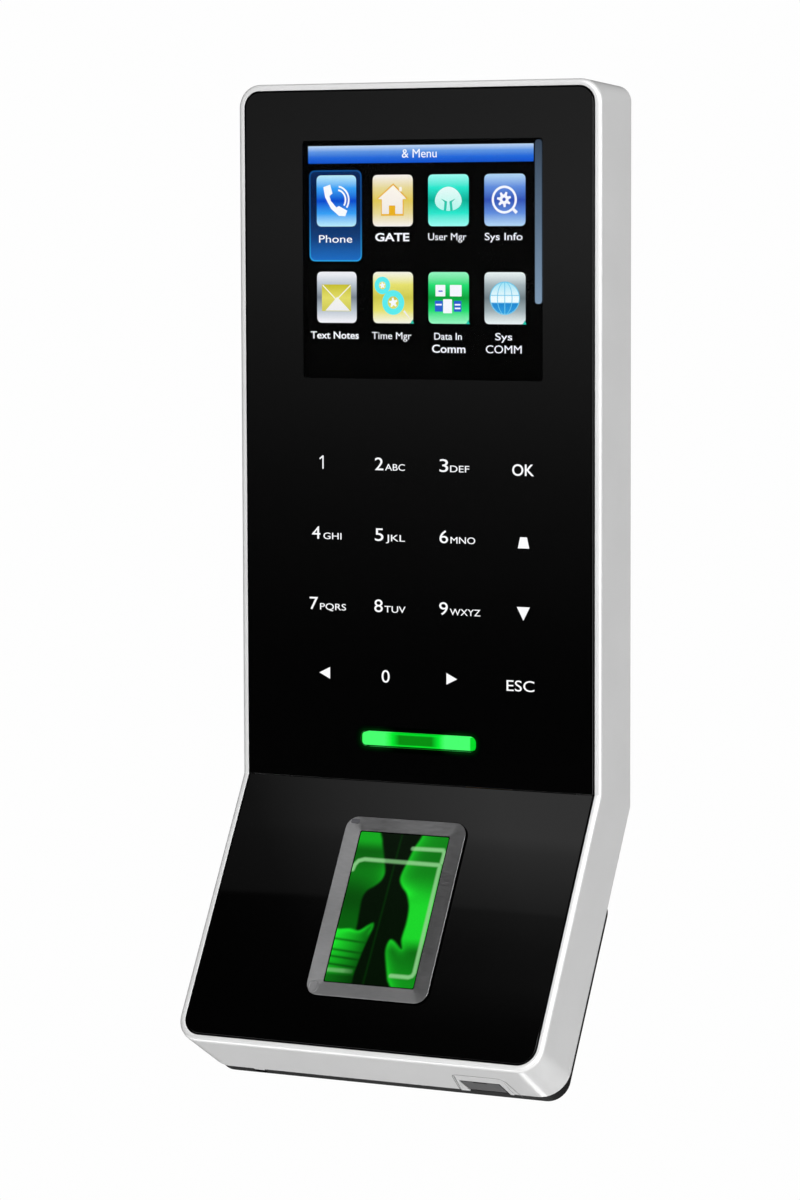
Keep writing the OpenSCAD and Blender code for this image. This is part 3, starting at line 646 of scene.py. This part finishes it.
# tiles from the top left: the colours of their ends, slopes and middle
TILES = (
    ("blue", (185, 235, 250), (55, 160, 245), (0, 70, 205)),
    ("gold", (245, 240, 235), (230, 215, 150), (225, 200, 85)),
    ("teal", (155, 250, 240), (40, 230, 205), (0, 170, 145)),
    ("violet", (180, 215, 245), (95, 140, 220), (45, 80, 180)),
    ("silver", (245, 245, 250), (185, 195, 205), (120, 130, 140)),
    ("yellow", (245, 245, 230), (230, 225, 110), (205, 200, 75)),
    ("green", (150, 245, 195), (35, 220, 115), (5, 160, 55)),
    ("steel", (235, 245, 245), (160, 175, 180), (110, 125, 130)),
)
for i, (name, pale, slope, deep) in enumerate(TILES):
    x, v = COLS[i % 4], ROWS[i // 4]
    flat("menu_tiles", [rrect(x, v, TILE_W, TILE_H, 0.95)],
         shade("tile_" + name, v - TILE_H / 2, v + TILE_H / 2, pale, slope, deep, slope, pale),
         0.06)

# handset with two sound waves
x, v = COLS[0], ROWS[0]
handset = [(-2.85, 2.69), (-1.35, 3.19), (-0.85, 1.44), (-1.52, 0.98), (-1.2, 0.0),
           (0.0, -1.27), (0.56, -0.98), (2.4, -1.9), (1.94, -2.98), (0.56, -2.9),
           (-1.19, -1.48), (-2.44, 0.69)]
icon([[(x + a, v + b) for a, b in handset]], white)
for r0, r1 in ((1.75, 2.1), (2.45, 2.8)):
    icon([arc_band(x + 0.1, v + 0.2, r0, r1, -35, 80)], white)

# house
x, v = COLS[1], ROWS[0]
gold = plain("icon_gold", 236, 178, 32)
cream = shade("icon_cream", v - 3, v + 3, (238, 232, 226), (252, 246, 236))


def house(g):
    """Outline of the house, grown by g."""
    return [(x + 0.15, v + 3.1 + g), (x + 3.1 + g, v + 0.35), (x + 2.25 + g * 0.6, v + 0.25),
            (x + 2.25 + g * 0.6, v - 2.7 - g), (x - 2.4 - g * 0.6, v - 2.7 - g),
            (x - 2.4 - g * 0.6, v + 0.25), (x - 3.25 - g, v + 0.35)]


icon([house(0.22)], gold)
icon([house(-0.12)], cream, 0.03)
icon([rrect(x - 0.1, v - 1.85, 1.35, 1.8, 0.05)], gold, 0.06)
icon([rrect(x + 1.75, v + 2.2, 0.6, 0.9, 0.25)], cream, 0.06)

# person
x, v = COLS[2], ROWS[0]
mint = shade("icon_mint", v - 3, v + 3, (160, 244, 232), (236, 252, 250))
teal = plain("icon_teal", 24, 200, 172)
head = [(x + 2.85 * math.sin(a) * (1.0 - 0.12 * math.cos(a)),
         v + 0.15 + (2.45 if math.cos(a) > 0 else 2.2) * math.cos(a))
        for a in (2 * math.pi * i / 40 for i in range(40))]
icon([head], mint)
for s in (-1, 1):
    icon([[(x + s * 1.6, v + 0.35), (x + s * 0.25, v - 0.25), (x + s * 0.45, v - 2.05),
           (x + s * 0.95, v - 1.95), (x + s * 0.8, v - 0.35)]], teal, 0.03)

# magnifier over a gear
x, v = COLS[3], ROWS[0]
icon([disc(x - 0.1, v + 0.06, 2.67), disc(x - 0.1, v + 0.06, 2.2)], white)
icon([[(x + 1.3, v - 1.7), (x + 1.7, v - 1.3), (x + 2.75, v - 2.25), (x + 2.3, v - 2.7)]], white)


def gear(cx, cv, r0, r1, teeth):
    """Outline of a gear with its teeth from r0 out to r1."""
    pts = []
    for i in range(teeth):
        for f, r in ((0.0, r0), (0.2, r1), (0.5, r1), (0.7, r0)):
            a = 2 * math.pi * (i + f) / teeth
            pts.append((cx + r * math.cos(a), cv + r * math.sin(a)))
    return pts


icon([gear(x - 0.15, v + 0.1, 0.95, 1.5, 7), disc(x - 0.15, v + 0.1, 0.35, 16)], white)

# envelope
x, v = COLS[0], ROWS[1]
icon([rrect(x - 0.08, v - 0.1, 6.4, 5.2, 0.15)],
     shade("icon_envelope", v - 2.7, v + 2.5, (206, 200, 84), (226, 220, 104), (198, 190, 40)))
pale = shade("icon_paper", v - 2.7, v + 1, (236, 236, 240), (246, 246, 236))
icon([[(x - 2.5, v - 2.6), (x + 0.1, v + 0.1), (x + 2.9, v - 2.6)]], pale, 0.03)
for s in (-1, 1):
    icon([[(x + s * 3.15, v + 2.3), (x + s * 3.0, v + 2.45), (x - 0.05, v - 0.35),
           (x - 0.05, v - 0.62)]], pale, 0.05)

# two rings
x, v = COLS[1], ROWS[1]
cyan = plain("icon_cyan", 92, 238, 238)
for cx, cv, r0, r1 in ((-2.3, 2.35, 0.75, 1.7), (0.05, -0.95, 1.2, 2.4)):
    icon([disc(x + cx, v + cv, r1), disc(x + cx, v + cv, r0)], cyan)
    icon([gear(x + cx, v + cv, r0 * 0.45, r0 * 0.8, 5)], white)
icon([[(x + 2.2, v - 2.7), (x + 2.5, v - 2.4), (x + 3.9, v - 4.3)]], pale)

# boxes
x, v = COLS[2], ROWS[1]
royal = plain("icon_royal", 42, 96, 206)
for bx, bv, bw, bh, mat, over in (
        (-1.75, 1.4, 2.1, 2.2, white, 0), (1.55, 1.4, 2.5, 2.2, white, 0),
        (-2.1, -1.6, 1.7, 2.1, royal, 0), (1.95, -1.6, 1.6, 2.1, royal, 0),
        (-0.2, -1.6, 1.9, 2.7, white, 0.02), (-1.7, 1.3, 0.9, 0.25, royal, 0.03),
        (-2.1, -1.3, 1.3, 0.3, white, 0.03), (1.95, -1.3, 1.2, 0.3, white, 0.03),
        (1.95, -2.0, 1.2, 0.3, white, 0.03)):
    icon([rrect(x + bx, v + bv, bw, bh, 0.08, 2)], mat, over)

# globe
x, v = COLS[3], ROWS[1]
sea = shade("icon_sea", v - 3.1, v, (50, 160, 225), (20, 120, 200))
sky = shade("icon_sky", v - 3.1, v + 3.1, (235, 250, 255), (240, 252, 255), (150, 225, 245))
icon([disc(x, v, 3.1)], sky)
icon([arc(x, v, 3.0, 198, 342, 24)], sea, 0.02)
line = plain("icon_line", 110, 205, 235)
icon([disc(x, v, 3.2), disc(x, v, 3.02)], line, 0.04)
for f, s in ((0.0, 1), (0.5, -1), (0.5, 1)):
    outer = [(x + s * 3.1 * f * math.cos(a) + 0.08, v + 3.1 * math.sin(a))
             for a in (math.pi * (i / 16 - 0.5) for i in range(17))]
    icon([outer + [(a - 0.16, b) for a, b in outer[::-1]]], line, 0.05)
for dv, w in ((0.55, 3.05), (-0.9, 2.95)):
    icon([rrect(x, v + dv, 2 * w, 0.15, 0.05, 2)], line, 0.06)

# small marks beside the lower tiles
for tile_x in COLS[1:]:
    x, v = tile_x + 4.2, ROWS[1] - 4.6
    icon([[(x - 0.45, v - 0.4), (x + 0.35, v - 0.4), (x, v + 0.35)]], teal)

for words, x, v, cap, width, bold in (
    ("Phone", -17.5, 105.3, 1.55, 7.3, 0.0), ("GATE", -5.1, 105.6, 1.6, 7.4, 0.05),
    ("User Mgr", 6.8, 105.75, 1.45, 8.2, 0.0), ("Sys Info", 18.8, 105.75, 1.45, 8.0, 0.01),
    ("Text Notes", -17.8, 86.6, 1.45, 10.6, 0.03), ("Time Mgr", -5.3, 86.6, 1.45, 8.6, 0.0),
    ("Data In", 6.9, 86.6, 1.4, 5.9, 0.01), ("Comm", 7.04, 84.1, 1.6, 7.2, 0.03),
    ("Sys", 18.8, 86.6, 1.45, 3.6, 0.01), ("COMM", 18.8, 84.1, 1.6, 7.6, 0.0),
):
    paint("menu_captions", text_mesh(words, cap, width, bold, 0.03), white, x + SHIFT, v, ICON)
for key, parts in ui.items():
    gather(key, parts)


# ---------- status light ----------
def status_colour(k, middle):
    """Green along the bar: bright towards both ends, with another green in the middle."""
    full, turn, end = lin(72, 255, 112), lin(0, 235, 50), lin(0, 215, 40)
    return k.ramp(k.axis("X", -STATUS_W / 2, STATUS_W / 2), [
        (0.0, end), (0.012, full), (0.2, full), (0.27, turn), (0.335, middle),
        (0.62, middle), (0.685, turn), (0.74, full), (0.955, full), (0.965, end)])


def status_green():
    """The lit bar, whose upper and lower edges glow along the whole length."""
    k = Nodes("status_green")
    lit, dark = (1, 1, 1, 1), (0, 0, 0, 1)
    height = k.axis("Z", KNEE_Z + STATUS_V - STATUS_H / 2, KNEE_Z + STATUS_V + STATUS_H / 2)
    edges = k.ramp(height, [(0.0, lit), (0.1, lit), (0.17, dark), (0.85, dark), (0.92, lit),
                            (1.0, lit)])
    blend = k.add("Mix")
    blend.data_type = "RGBA"
    k.link(edges, blend.inputs["Factor"])
    k.link(status_colour(k, lin(2, 138, 14)), blend.inputs["A"])
    k.link(status_colour(k, lin(0, 215, 40)), blend.inputs["B"])
    k.bsdf.inputs["Base Color"].default_value = (0.0, 0.01, 0.0, 1)
    k.bsdf.inputs["Specular IOR Level"].default_value = 0.05
    k.feed(k.bsdf.inputs["Roughness"], k.span(k.noise(0.4), 0.3, 0.5, 0.3, 0.7))
    k.feed(k.bsdf.inputs["Emission Color"], blend.outputs["Result"])
    k.feed(k.bsdf.inputs["Emission Strength"], k.span(k.noise(0.5), 0.96, 1.04, 0.3, 0.7))
    return k.mat


bar = slabs("status_bar_lens", upper, [rrect(0, STATUS_V, STATUS_W, STATUS_H, STATUS_R)],
            0.0, 2.4, status_green(), 0.2, 3)
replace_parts(bar, "status_light_bar")
# painted light: two thin lit rings on the glass round the bar paint the bar's green light spilling
# onto the glass, brightest near both ends
BLEED_GAP, BLEED_W = 0.3, 0.45
bleed = []
for i, green in enumerate((40, 16)):
    mat = glow("bleed_" + str(i), [(place, lin(0, g * green, g * green / 6)) for place, g in (
        (0.0, 0.6), (0.15, 1.0), (0.3, 0.1), (0.7, 0.1), (0.85, 1.0), (1.0, 0.6))],
        "X", -STATUS_W / 2, STATUS_W / 2, 0.0)
    grow = (BLEED_GAP + BLEED_W * i, BLEED_GAP + BLEED_W * (i + 1))
    bleed.append((curve_mesh([rrect(0, STATUS_V, STATUS_W + 2 * g, STATUS_H + 2 * g, STATUS_R + g)
                              for g in grow], 0.01), on(upper), mat))
gather("status_light_painted_glow", bleed)


# ---------- fingerprint sensor ----------
def sensor_loop(w, h, n, r):
    """World points of a rounded rectangle round the sensor's middle."""
    return [lower(x, v, n) for x, v in rrect(0, SENSOR_V, w, h, r, 8)]


def frame_loop(inset, n, r=BEZEL_R):
    return sensor_loop(BEZEL_W - 2 * inset, BEZEL_L - 2 * inset, n, r)


def window_loop(grow, n):
    return sensor_loop(WINDOW_W + 2 * grow, WINDOW_L + 2 * grow, n, WINDOW_R)


bezel = rings_solid("sensor_frame", [
    frame_loop(1.3, 0, 1.5), frame_loop(0.0, 0), frame_loop(0.0, BEZEL_EDGE_N),
    frame_loop(0.04, BEZEL_N, 2.55), window_loop(0.0, WINDOW_EDGE_N), window_loop(0.0, SHELF_N1),
    frame_loop(1.3, SHELF_N1, 1.5)], SLOTS["bezel_grey"], 12.0)
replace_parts(bezel, "sensor_bezel")
# black seal ring round the platen; it also paints the shadow line where the platen sits below the
# frame
rings_solid("window_edge_seal_shade", [window_loop(SEAL_LAP, -0.3), window_loop(-0.2, -0.3),
                                 window_loop(-0.2, 0.5), window_loop(SEAL_LAP, 0.5)],
            seal_and_gap_shade, 12.0)
# black seal ring round the outside of the frame; it also paints the shadow line round the raised
# frame
rings_solid("sensor_frame_seal_shade", [
    frame_loop(-0.12, 0.0, 2.7), frame_loop(-0.12, FRAME_SEAL_N, 2.7),
    frame_loop(SEAL_LAP, FRAME_SEAL_N), frame_loop(SEAL_LAP, 0.0)],
    seal_and_gap_shade, 12.0)
# painted reflections: a dark dash at the frame's top left corner and a pale oval ring at its
# bottom left stand in for small reflections on the metal; they are flat marks, not dents
mark_x, mark_v = BEZEL_W / 2 - 1.55, BEZEL_L / 2 - 1.6
oval = [rrect(-mark_x, SENSOR_V - mark_v, 1.9 - s, 2.6 - s, 0.94 - s / 2) for s in (0, 0.36)]
dash = rrect(-mark_x + 0.25, SENSOR_V + mark_v + 0.55, 1.8, 0.85, 0.3)
gather("sensor_frame_painted_reflections", [
    (curve_mesh([dash], 0.1), on(lower, 0, 0, BEZEL_EDGE_N), SLOTS["speaker_grey"]),
    (curve_mesh(oval, 0.08), on(lower, 0, 0, -0.55), SLOTS["bezel_edge"]),
])


def smooth_loop(points, steps=6):
    """Closed loop through points, rounded."""
    p, out = np.array(points, float), []
    for i in range(len(p)):
        a, b, c, d = (p[(i + k) % len(p)] for k in (-1, 0, 1, 2))
        for t in np.arange(steps) / steps:
            out.append(0.5 * (2 * b + (c - a) * t + (2 * a - 5 * b + 4 * c - d) * t * t
                              + (3 * b - a - 3 * c + d) * t ** 3))
    return np.array(out)


def from_segment(px, pv, ax, av, bx, bv):
    """Distance of every place px, pv to the segment from a to b."""
    dx, dv = bx - ax, bv - av
    t = np.clip(((px - ax) * dx + (pv - av) * dv) / (dx * dx + dv * dv + 1e-12), 0, 1)
    return np.hypot(px - ax - t * dx, pv - av - t * dv)


def distance(px, pv, loop):
    """Signed distance to a closed loop: below 0 inside."""
    best, inside = np.full(px.shape, 1e9), np.zeros(px.shape, bool)
    for (ax, av), (bx, bv) in zip(loop, np.roll(loop, -1, axis=0)):
        best = np.minimum(best, from_segment(px, pv, ax, av, bx, bv))
        if abs(bv - av) > 1e-9:
            inside ^= (((av > pv) != (bv > pv))
                       & (px < ax + (pv - av) / (bv - av) * (bx - ax)))
    return np.where(inside, -best, best)


def step(x, a, b):
    """0 at a to 1 at b, smoothly."""
    t = np.clip((x - a) / (b - a), 0, 1)
    return t * t * (3 - 2 * t)


def bump(x, middle, width):
    return np.exp(-((x - middle) / width) ** 2)


LINE_HALF = 0.52


def line_mask(px, pv, points):
    """1 on a run of straight lines, fading to 0 at its edges."""
    best = np.full(px.shape, 1e9)
    for a, b in zip(points, points[1:]):
        best = np.minimum(best, from_segment(px, pv, *a, *b))
    return 1 - step(best, LINE_HALF * 0.35, LINE_HALF * 1.15)


def lit_ground(px, pv, d):
    """Painted light: green light beside the painted finger shadow, d away from the shadow's edge.
    """
    edge_glow = np.exp(-np.maximum(d, 0) / 1.3)
    right = 0.52 + 0.42 * step(pv, 8.5, 0.5) + 0.36 * edge_glow * step(pv, 2.0, 4.0)
    right = right - 0.07 * step(np.abs(pv - 11.4), 1.4, 1.0) * step(px, 2.0, 5.0)
    lobe = step(pv, -5.2, -8.6)
    right = right * (1 - lobe) + lobe * (0.4 + 0.03 * np.clip(-8.6 - pv, 0, 6)
                                        + 0.42 * np.exp(-np.maximum(d, 0) / 0.9))
    left = (0.36 + 0.34 * step(pv, 11.4, 14.2) + 0.1 * bump(pv, 7.4, 2.4)
            + 0.26 * edge_glow * bump(pv, 7.0, 2.6) - 0.08 * bump(pv, 1.5, 3.0))
    return np.where(px > -0.5, right, left)


def near_finger(px, pv, d):
    """Painted light on the near finger: a bright rim, fading to the left, with dark ridges."""
    across = np.clip((-1.5 - px) / 8.0, 0, 1)
    lit_finger = 0.2 + 0.8 * across ** 0.8 + 0.3 * np.exp(-np.abs(d + 0.45) / 0.4) * step(pv, -6.5, -4.5)
    for ridge in (-7.0, -9.2, -10.6, -12.2):
        lit_finger = lit_finger * (1 - 0.45 * bump(pv + 0.06 * (px + 6), ridge, 0.24) * step(px, -1.0, -6.0))
    return lit_finger * (1 - 0.3 * step(pv, -6.5, -13.0)) * (1 - 0.4 * step(pv, -13.4, -14.4))


def guide_lines(px, pv):
    """Pale frame lines over the picture."""
    corner = [(-9.4, 7.6), (-9.2, 8.6), (-8.6, 9.5), (-7.4, 9.9), (8.8, 9.8)]
    down = [(9.0, 9.6), (9.0, -12.4), (8.7, -13.1), (8.0, -13.4), (4.2, -13.4)]
    box = [(2.4, 12.8), (8.9, 12.9), (9.3, 12.3), (9.2, 10.3)]
    masks = [line_mask(px, pv, points) for points in (corner, down, box)]
    masks.append(0.5 * line_mask(px, pv, [(-9.4, -13.2), (-4.4, -13.2)]) * step(px, -3.0, -6.0))
    return np.maximum.reduce(masks)[..., None]


def finger_picture(px, pv):
    """Linear colours in the finger window, painted light and shade: a finger shadow, green light
    round it and a lit near finger; x right, v up from its centre, in mm.
    """
    finger_shadow = smooth_loop([
        (-4.9, 17), (-4.5, 14), (-3.6, 11.6), (-2.7, 9), (-2.3, 7.2), (-2.7, 5.7), (-3.8, 4.5),
        (-5.2, 3.4), (-5.8, 1.7), (-5.7, -1), (-5.5, -4), (-5.5, -9), (-5, -17), (4.5, -17),
        (3.6, -14), (2.7, -11.4), (1.8, -8.4), (2.1, -6.3), (3.1, -6.3), (5.1, -7.8), (4.6, -5.8),
        (4.8, -2.4), (4.6, 0.4), (4.1, 2), (3.3, 3.6), (2.1, 4.8), (1.3, 6.1), (1.3, 7.6),
        (1.9, 10), (2.5, 12.5), (3.4, 17)])
    finger = smooth_loop([
        (-11.5, -4.9), (-9.2, -4.8), (-6.9, -4.5), (-4.9, -4.7), (-3.3, -3.5), (-2.2, -2.9),
        (-1.8, -3.8), (-2.3, -5.9), (-2.9, -8.6), (-3.3, -11.1), (-3.6, -13.1), (-4.4, -17),
        (-11.5, -17)])
    d, fd = distance(px, pv, finger_shadow), distance(px, pv, finger)
    open_area = step(d, -0.4, 0.4)
    value = lit_ground(px, pv, d) * open_area
    value = value + (near_finger(px, pv, fd) - value) * (1 - step(fd, -0.3, 0.3))
    streak = 0.13 * bump(px - 0.02 * pv, -0.9, 0.3) * (1 - open_area)
    level = np.clip(value + streak * (fd > 0), 0.015, 1) ** 1.9
    rgb = np.stack([0.012 * level, 0.74 * level, 0.026 * level], -1)
    # the pale lines are painted darker inside the finger shadow
    pale_green = np.array([0.26, 0.62, 0.25]) * (0.7 + 0.3 * open_area[..., None])
    return rgb + (pale_green - rgb) * guide_lines(px, pv) * 0.85


def window_glow():
    """Material that shines in the colours kept with the window's points."""
    k = Nodes("finger_window_glow")
    attr = k.add("Attribute")
    attr.attribute_name = "glow"
    k.bsdf.inputs["Base Color"].default_value = (0.001, 0.004, 0.001, 1)
    k.feed(k.bsdf.inputs["Roughness"], k.span(k.noise(3.0), 0.06, 0.12, 0.3, 0.7))
    k.bsdf.inputs["Specular IOR Level"].default_value = 0.06
    k.feed(k.bsdf.inputs["Emission Color"], attr.outputs["Color"])
    k.feed(k.bsdf.inputs["Emission Strength"], k.span(k.noise(0.3), 0.96, 1.04, 0.3, 0.7))
    return k.mat


def finger_window(grid=0.18, gap=0.1):
    """The prism: a front of small squares that carries the picture, and a plain back."""
    w, h = WINDOW_W - 2 * gap, WINDOW_L - 2 * gap
    across, along = int(w / grid) + 1, int(h / grid) + 1
    gx, gv = np.linspace(-w / 2, w / 2, across), np.linspace(-h / 2, h / 2, along)
    bm = bmesh.new()
    front = [[bm.verts.new(lower(x, SENSOR_V + v, PLATEN_N)) for x in gx] for v in gv]
    for a, b in zip(front, front[1:]):
        for i in range(across - 1):
            bm.faces.new((a[i], a[i + 1], b[i + 1], b[i]))
    rim = (front[0] + [row[-1] for row in front[1:]] + front[-1][-2::-1]
           + [row[0] for row in front[-2:0:-1]])
    shift = lower(0, 0, PLATEN_BACK) - lower(0, 0, PLATEN_N)
    back = [bm.verts.new(corner.co + shift) for corner in rim]
    for i in range(len(rim)):
        j = (i + 1) % len(rim)
        bm.faces.new((rim[j], rim[i], back[i], back[j]))
    bm.faces.new(back)
    bm.verts.index_update()
    o = solid("finger_window", bm, [window_glow()])
    values = np.zeros((len(o.data.vertices), 4), np.float32)
    values[:, 3] = 1
    values[:across * along, :3] = finger_picture(*np.meshgrid(gx, gv)).reshape(-1, 3)
    values[across * along:, :3] = (0, 0.05, 0.005)
    glow_layer = o.data.color_attributes.new("glow", "FLOAT_COLOR", "POINT")
    glow_layer.data.foreach_set("color", values.ravel())
    return o


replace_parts(finger_window(), "sensor_platen")

# ---------- the other CAD nodes keep their shape: materials, and fine bevels where seen ----------
BEVEL = {"rear_cover": 0.25, "wall_plate": 0.12, "port_insert": 0.12, "port_flap": 0.15,
         "cover_screws": 0.12, "security_screw": 0.12, "reset_button": 0.12,
         "tamper_plunger": 0.1, "lock_nut": 0.12}
slot_of = {s["node"]: s["material_slot"] for s in frame["record"]["subparts"]}
for name, o in frame["nodes"].items():
    if o.hide_render:
        continue
    o.data.materials.clear()
    o.data.materials.append(SLOTS.get(slot_of[name], SLOTS["clear_plastic"]))
    weld = o.modifiers.new("weld", "WELD")
    weld.merge_threshold = 1e-6
    if name in BEVEL:
        dec = o.modifiers.new("planar", "DECIMATE")
        dec.decimate_type, dec.angle_limit = "DISSOLVE", math.radians(1)
        bev = o.modifiers.new("bevel", "BEVEL")
        bev.width, bev.segments, bev.limit_method = BEVEL[name] * MM, 2, "ANGLE"
        bev.angle_limit = math.radians(35)
        bev.harden_normals = True
    for p in o.data.polygons:
        p.use_smooth = False

# ---------- stage, lights, camera ----------
FLOOR_Z = -0.45
floor_mat = finish("studio_floor", lin(250, 250, 250), 0.7, 0.0, 4.0, 0.02, 0.005)
floor_shader = floor_mat.node_tree.nodes["Principled BSDF"]
floor_shader.inputs["Emission Color"].default_value = (1, 1, 1, 1)
floor_shader.inputs["Emission Strength"].default_value = 0.03
bm = bmesh.new()
bmesh.ops.create_circle(bm, cap_ends=True, radius=1.0, segments=96)
mesh = bpy.data.meshes.new("floor")
bm.to_mesh(mesh)
bm.free()
mesh.materials.append(floor_mat)
floor = linked("floor", mesh)
floor.location = (0, 0, FLOOR_Z)


def softbox(name, place, aim, size, radiance):
    """Area light at place, facing aim, of a given brightness as seen in a reflection."""
    data = bpy.data.lights.new(name, "AREA")
    data.shape, data.size, data.size_y = "RECTANGLE", size[0], size[1]
    data.energy = radiance * math.pi * size[0] * size[1]
    o = linked(name, data)
    o.location = place
    o.rotation_euler = (Vector(aim) - Vector(place)).to_track_quat("-Z", "Y").to_euler()
    return o


def card(name, corners, runs):
    """A soft reflector: a lit sheet that the camera does not see directly.

    Each run is a brightness and the ramps that multiply it: axis, two places in metres and
    stops between them. The runs are added up.
    """
    bm = bmesh.new()
    bm.faces.new([bm.verts.new(c) for c in corners])
    k = Nodes(name)
    total = 0.0
    for part, ramps in runs:
        for which, lo, hi, stops in ramps:
            fac = k.axis(which, lo / MM, hi / MM)
            part = k.mul(part, k.ramp(fac, [(p, (c, c, c, 1)) for p, c in stops]))
        total = k.mul(total, part, "ADD")
    k.bsdf.inputs["Base Color"].default_value = (0, 0, 0, 1)
    k.bsdf.inputs["Specular IOR Level"].default_value = 0.0
    k.bsdf.inputs["Emission Color"].default_value = (1, 1, 1, 1)
    k.feed(k.bsdf.inputs["Emission Strength"], total)
    mesh = bpy.data.meshes.new(name)
    bm.to_mesh(mesh)
    bm.free()
    mesh.materials.append(k.mat)
    o = linked(name, mesh)
    o.visible_camera = False


# lights: name, place, what they face, size, brightness
for name, place, aim, size, radiance in (
        ("key_light", (0.35, -1.4, 0.85), (0, 0, -0.02), (1.0, 0.7), 16.0),
        ("right_light", (1.25, -0.5, 0.1), (0, 0, 0), (0.3, 1.4), 8.6),
        ("low_light", (-0.45, -0.4, -0.4), (0, 0, -0.1), (0.4, 0.3), 1.0),
        ("overhead_light", (-0.31, -0.8, 1.0), (-0.31, -0.8, 0), (0.3, 0.5), 4.0)):
    softbox(name, place, aim, size, radiance)
for name, place, size, radiance in (
        ("corner_light", (-0.05, 0.165, -0.42), (0.06, 0.1), 1.8),
        ("lip_light", (-0.25, -0.42, -0.43), (0.4, 0.4), 2.0)):
    edge_light = softbox(name, place, (0, 0, -0.12), size, radiance)
    edge_light.visible_camera = edge_light.visible_diffuse = False
card("ceiling_card", [(-1.5, -1.35, 1), (0.4, -1.35, 1), (0.4, -0.3, 1), (-1.5, -0.3, 1)], [
    (0.66, [("Y", -1.1, -0.86, [(0.0, 0.0), (0.28, 0.03), (0.34, 0.053), (0.4, 0.095),
                                (0.46, 0.14), (0.53, 0.155), (0.59, 0.18), (0.68, 0.27),
                                (0.74, 0.41), (0.83, 0.6), (0.874, 0.72), (0.918, 1.0)]),
            ("X", -0.84, -0.62, [(0.0, 0.0), (0.27, 0.1), (0.55, 0.5), (1.0, 1.0)])]),
    (0.066, [("Y", -1.1, -0.86, [(0.688, 0.0), (0.696, 1.0)])])])
card("front_card", [(-2.0, -2, -0.44), (-0.2, -2, -0.44), (-0.2, -2, 0.9), (-2.0, -2, 0.9)],
     [(0.42, [("Z", -0.3, 0.15, [(0.0, 0.0), (0.1, 0.03), (0.18, 0.1), (0.35, 0.19),
                                 (0.47, 0.4), (0.6, 0.57), (0.69, 0.87), (0.77, 1.0),
                                 (1.0, 0.85)]),
              ("X", -1.15, -0.85, [(0.0, 0.62), (1.0, 1.0)])])])

# seen directly the room is plain white; as light it brightens towards +x, +y
BACKDROP, ROOM_DARK, ROOM_BRIGHT = 0.99, 0.02, 0.29
world = bpy.data.worlds.new("studio")
world.use_nodes = True
room = world.node_tree
path = room.nodes.new("ShaderNodeLightPath")
mix = room.nodes.new("ShaderNodeMix")
mix.data_type = "RGBA"
mix.inputs["B"].default_value = (BACKDROP, BACKDROP, BACKDROP, 1)
where = room.nodes.new("ShaderNodeTexCoord")
along = room.nodes.new("ShaderNodeVectorMath")
along.operation = "DOT_PRODUCT"
along.inputs[1].default_value = (0.8, 0.6, 0.0)
level = room.nodes.new("ShaderNodeMapRange")
level.interpolation_type = "SMOOTHSTEP"
for key, value in (("From Min", -0.1), ("From Max", 0.6), ("To Min", ROOM_DARK),
                   ("To Max", ROOM_BRIGHT)):
    level.inputs[key].default_value = value
room.links.new(where.outputs["Generated"], along.inputs[0])
room.links.new(along.outputs["Value"], level.inputs["Value"])
room.links.new(level.outputs["Result"], mix.inputs["A"])
room.links.new(path.outputs["Is Camera Ray"], mix.inputs["Factor"])
room.links.new(mix.outputs["Result"], room.nodes["Background"].inputs["Color"])
bpy.context.scene.world = world

CAM_PLACE, CAM_LENS = (0.358317, -0.732946, 0.040791), 123.986
CAM_TURN, CAM_PITCH, CAM_ROLL = (math.radians(a) for a in (26.846, 5.192, -0.203))
cam_data = bpy.data.cameras.new("camera")
cam_data.lens, cam_data.sensor_width, cam_data.sensor_fit = CAM_LENS, 36.0, "AUTO"
cam_data.clip_start = 0.05
right = Vector((math.cos(CAM_TURN), math.sin(CAM_TURN), 0))
ahead = Vector((-math.sin(CAM_TURN), math.cos(CAM_TURN), 0))
up = Vector((0, 0, 1))
look = ahead * math.cos(CAM_PITCH) - up * math.sin(CAM_PITCH)
rise = up * math.cos(CAM_PITCH) + ahead * math.sin(CAM_PITCH)
cam_x = right * math.cos(CAM_ROLL) + rise * math.sin(CAM_ROLL)
cam_y = rise * math.cos(CAM_ROLL) - right * math.sin(CAM_ROLL)
camera = linked("camera", cam_data)
camera.matrix_world = Matrix.Translation(CAM_PLACE) @ Matrix(
    (cam_x, cam_y, -look)).transposed().to_4x4()
bpy.context.scene.camera = camera
bpy.context.scene.view_settings.view_transform = "Standard"
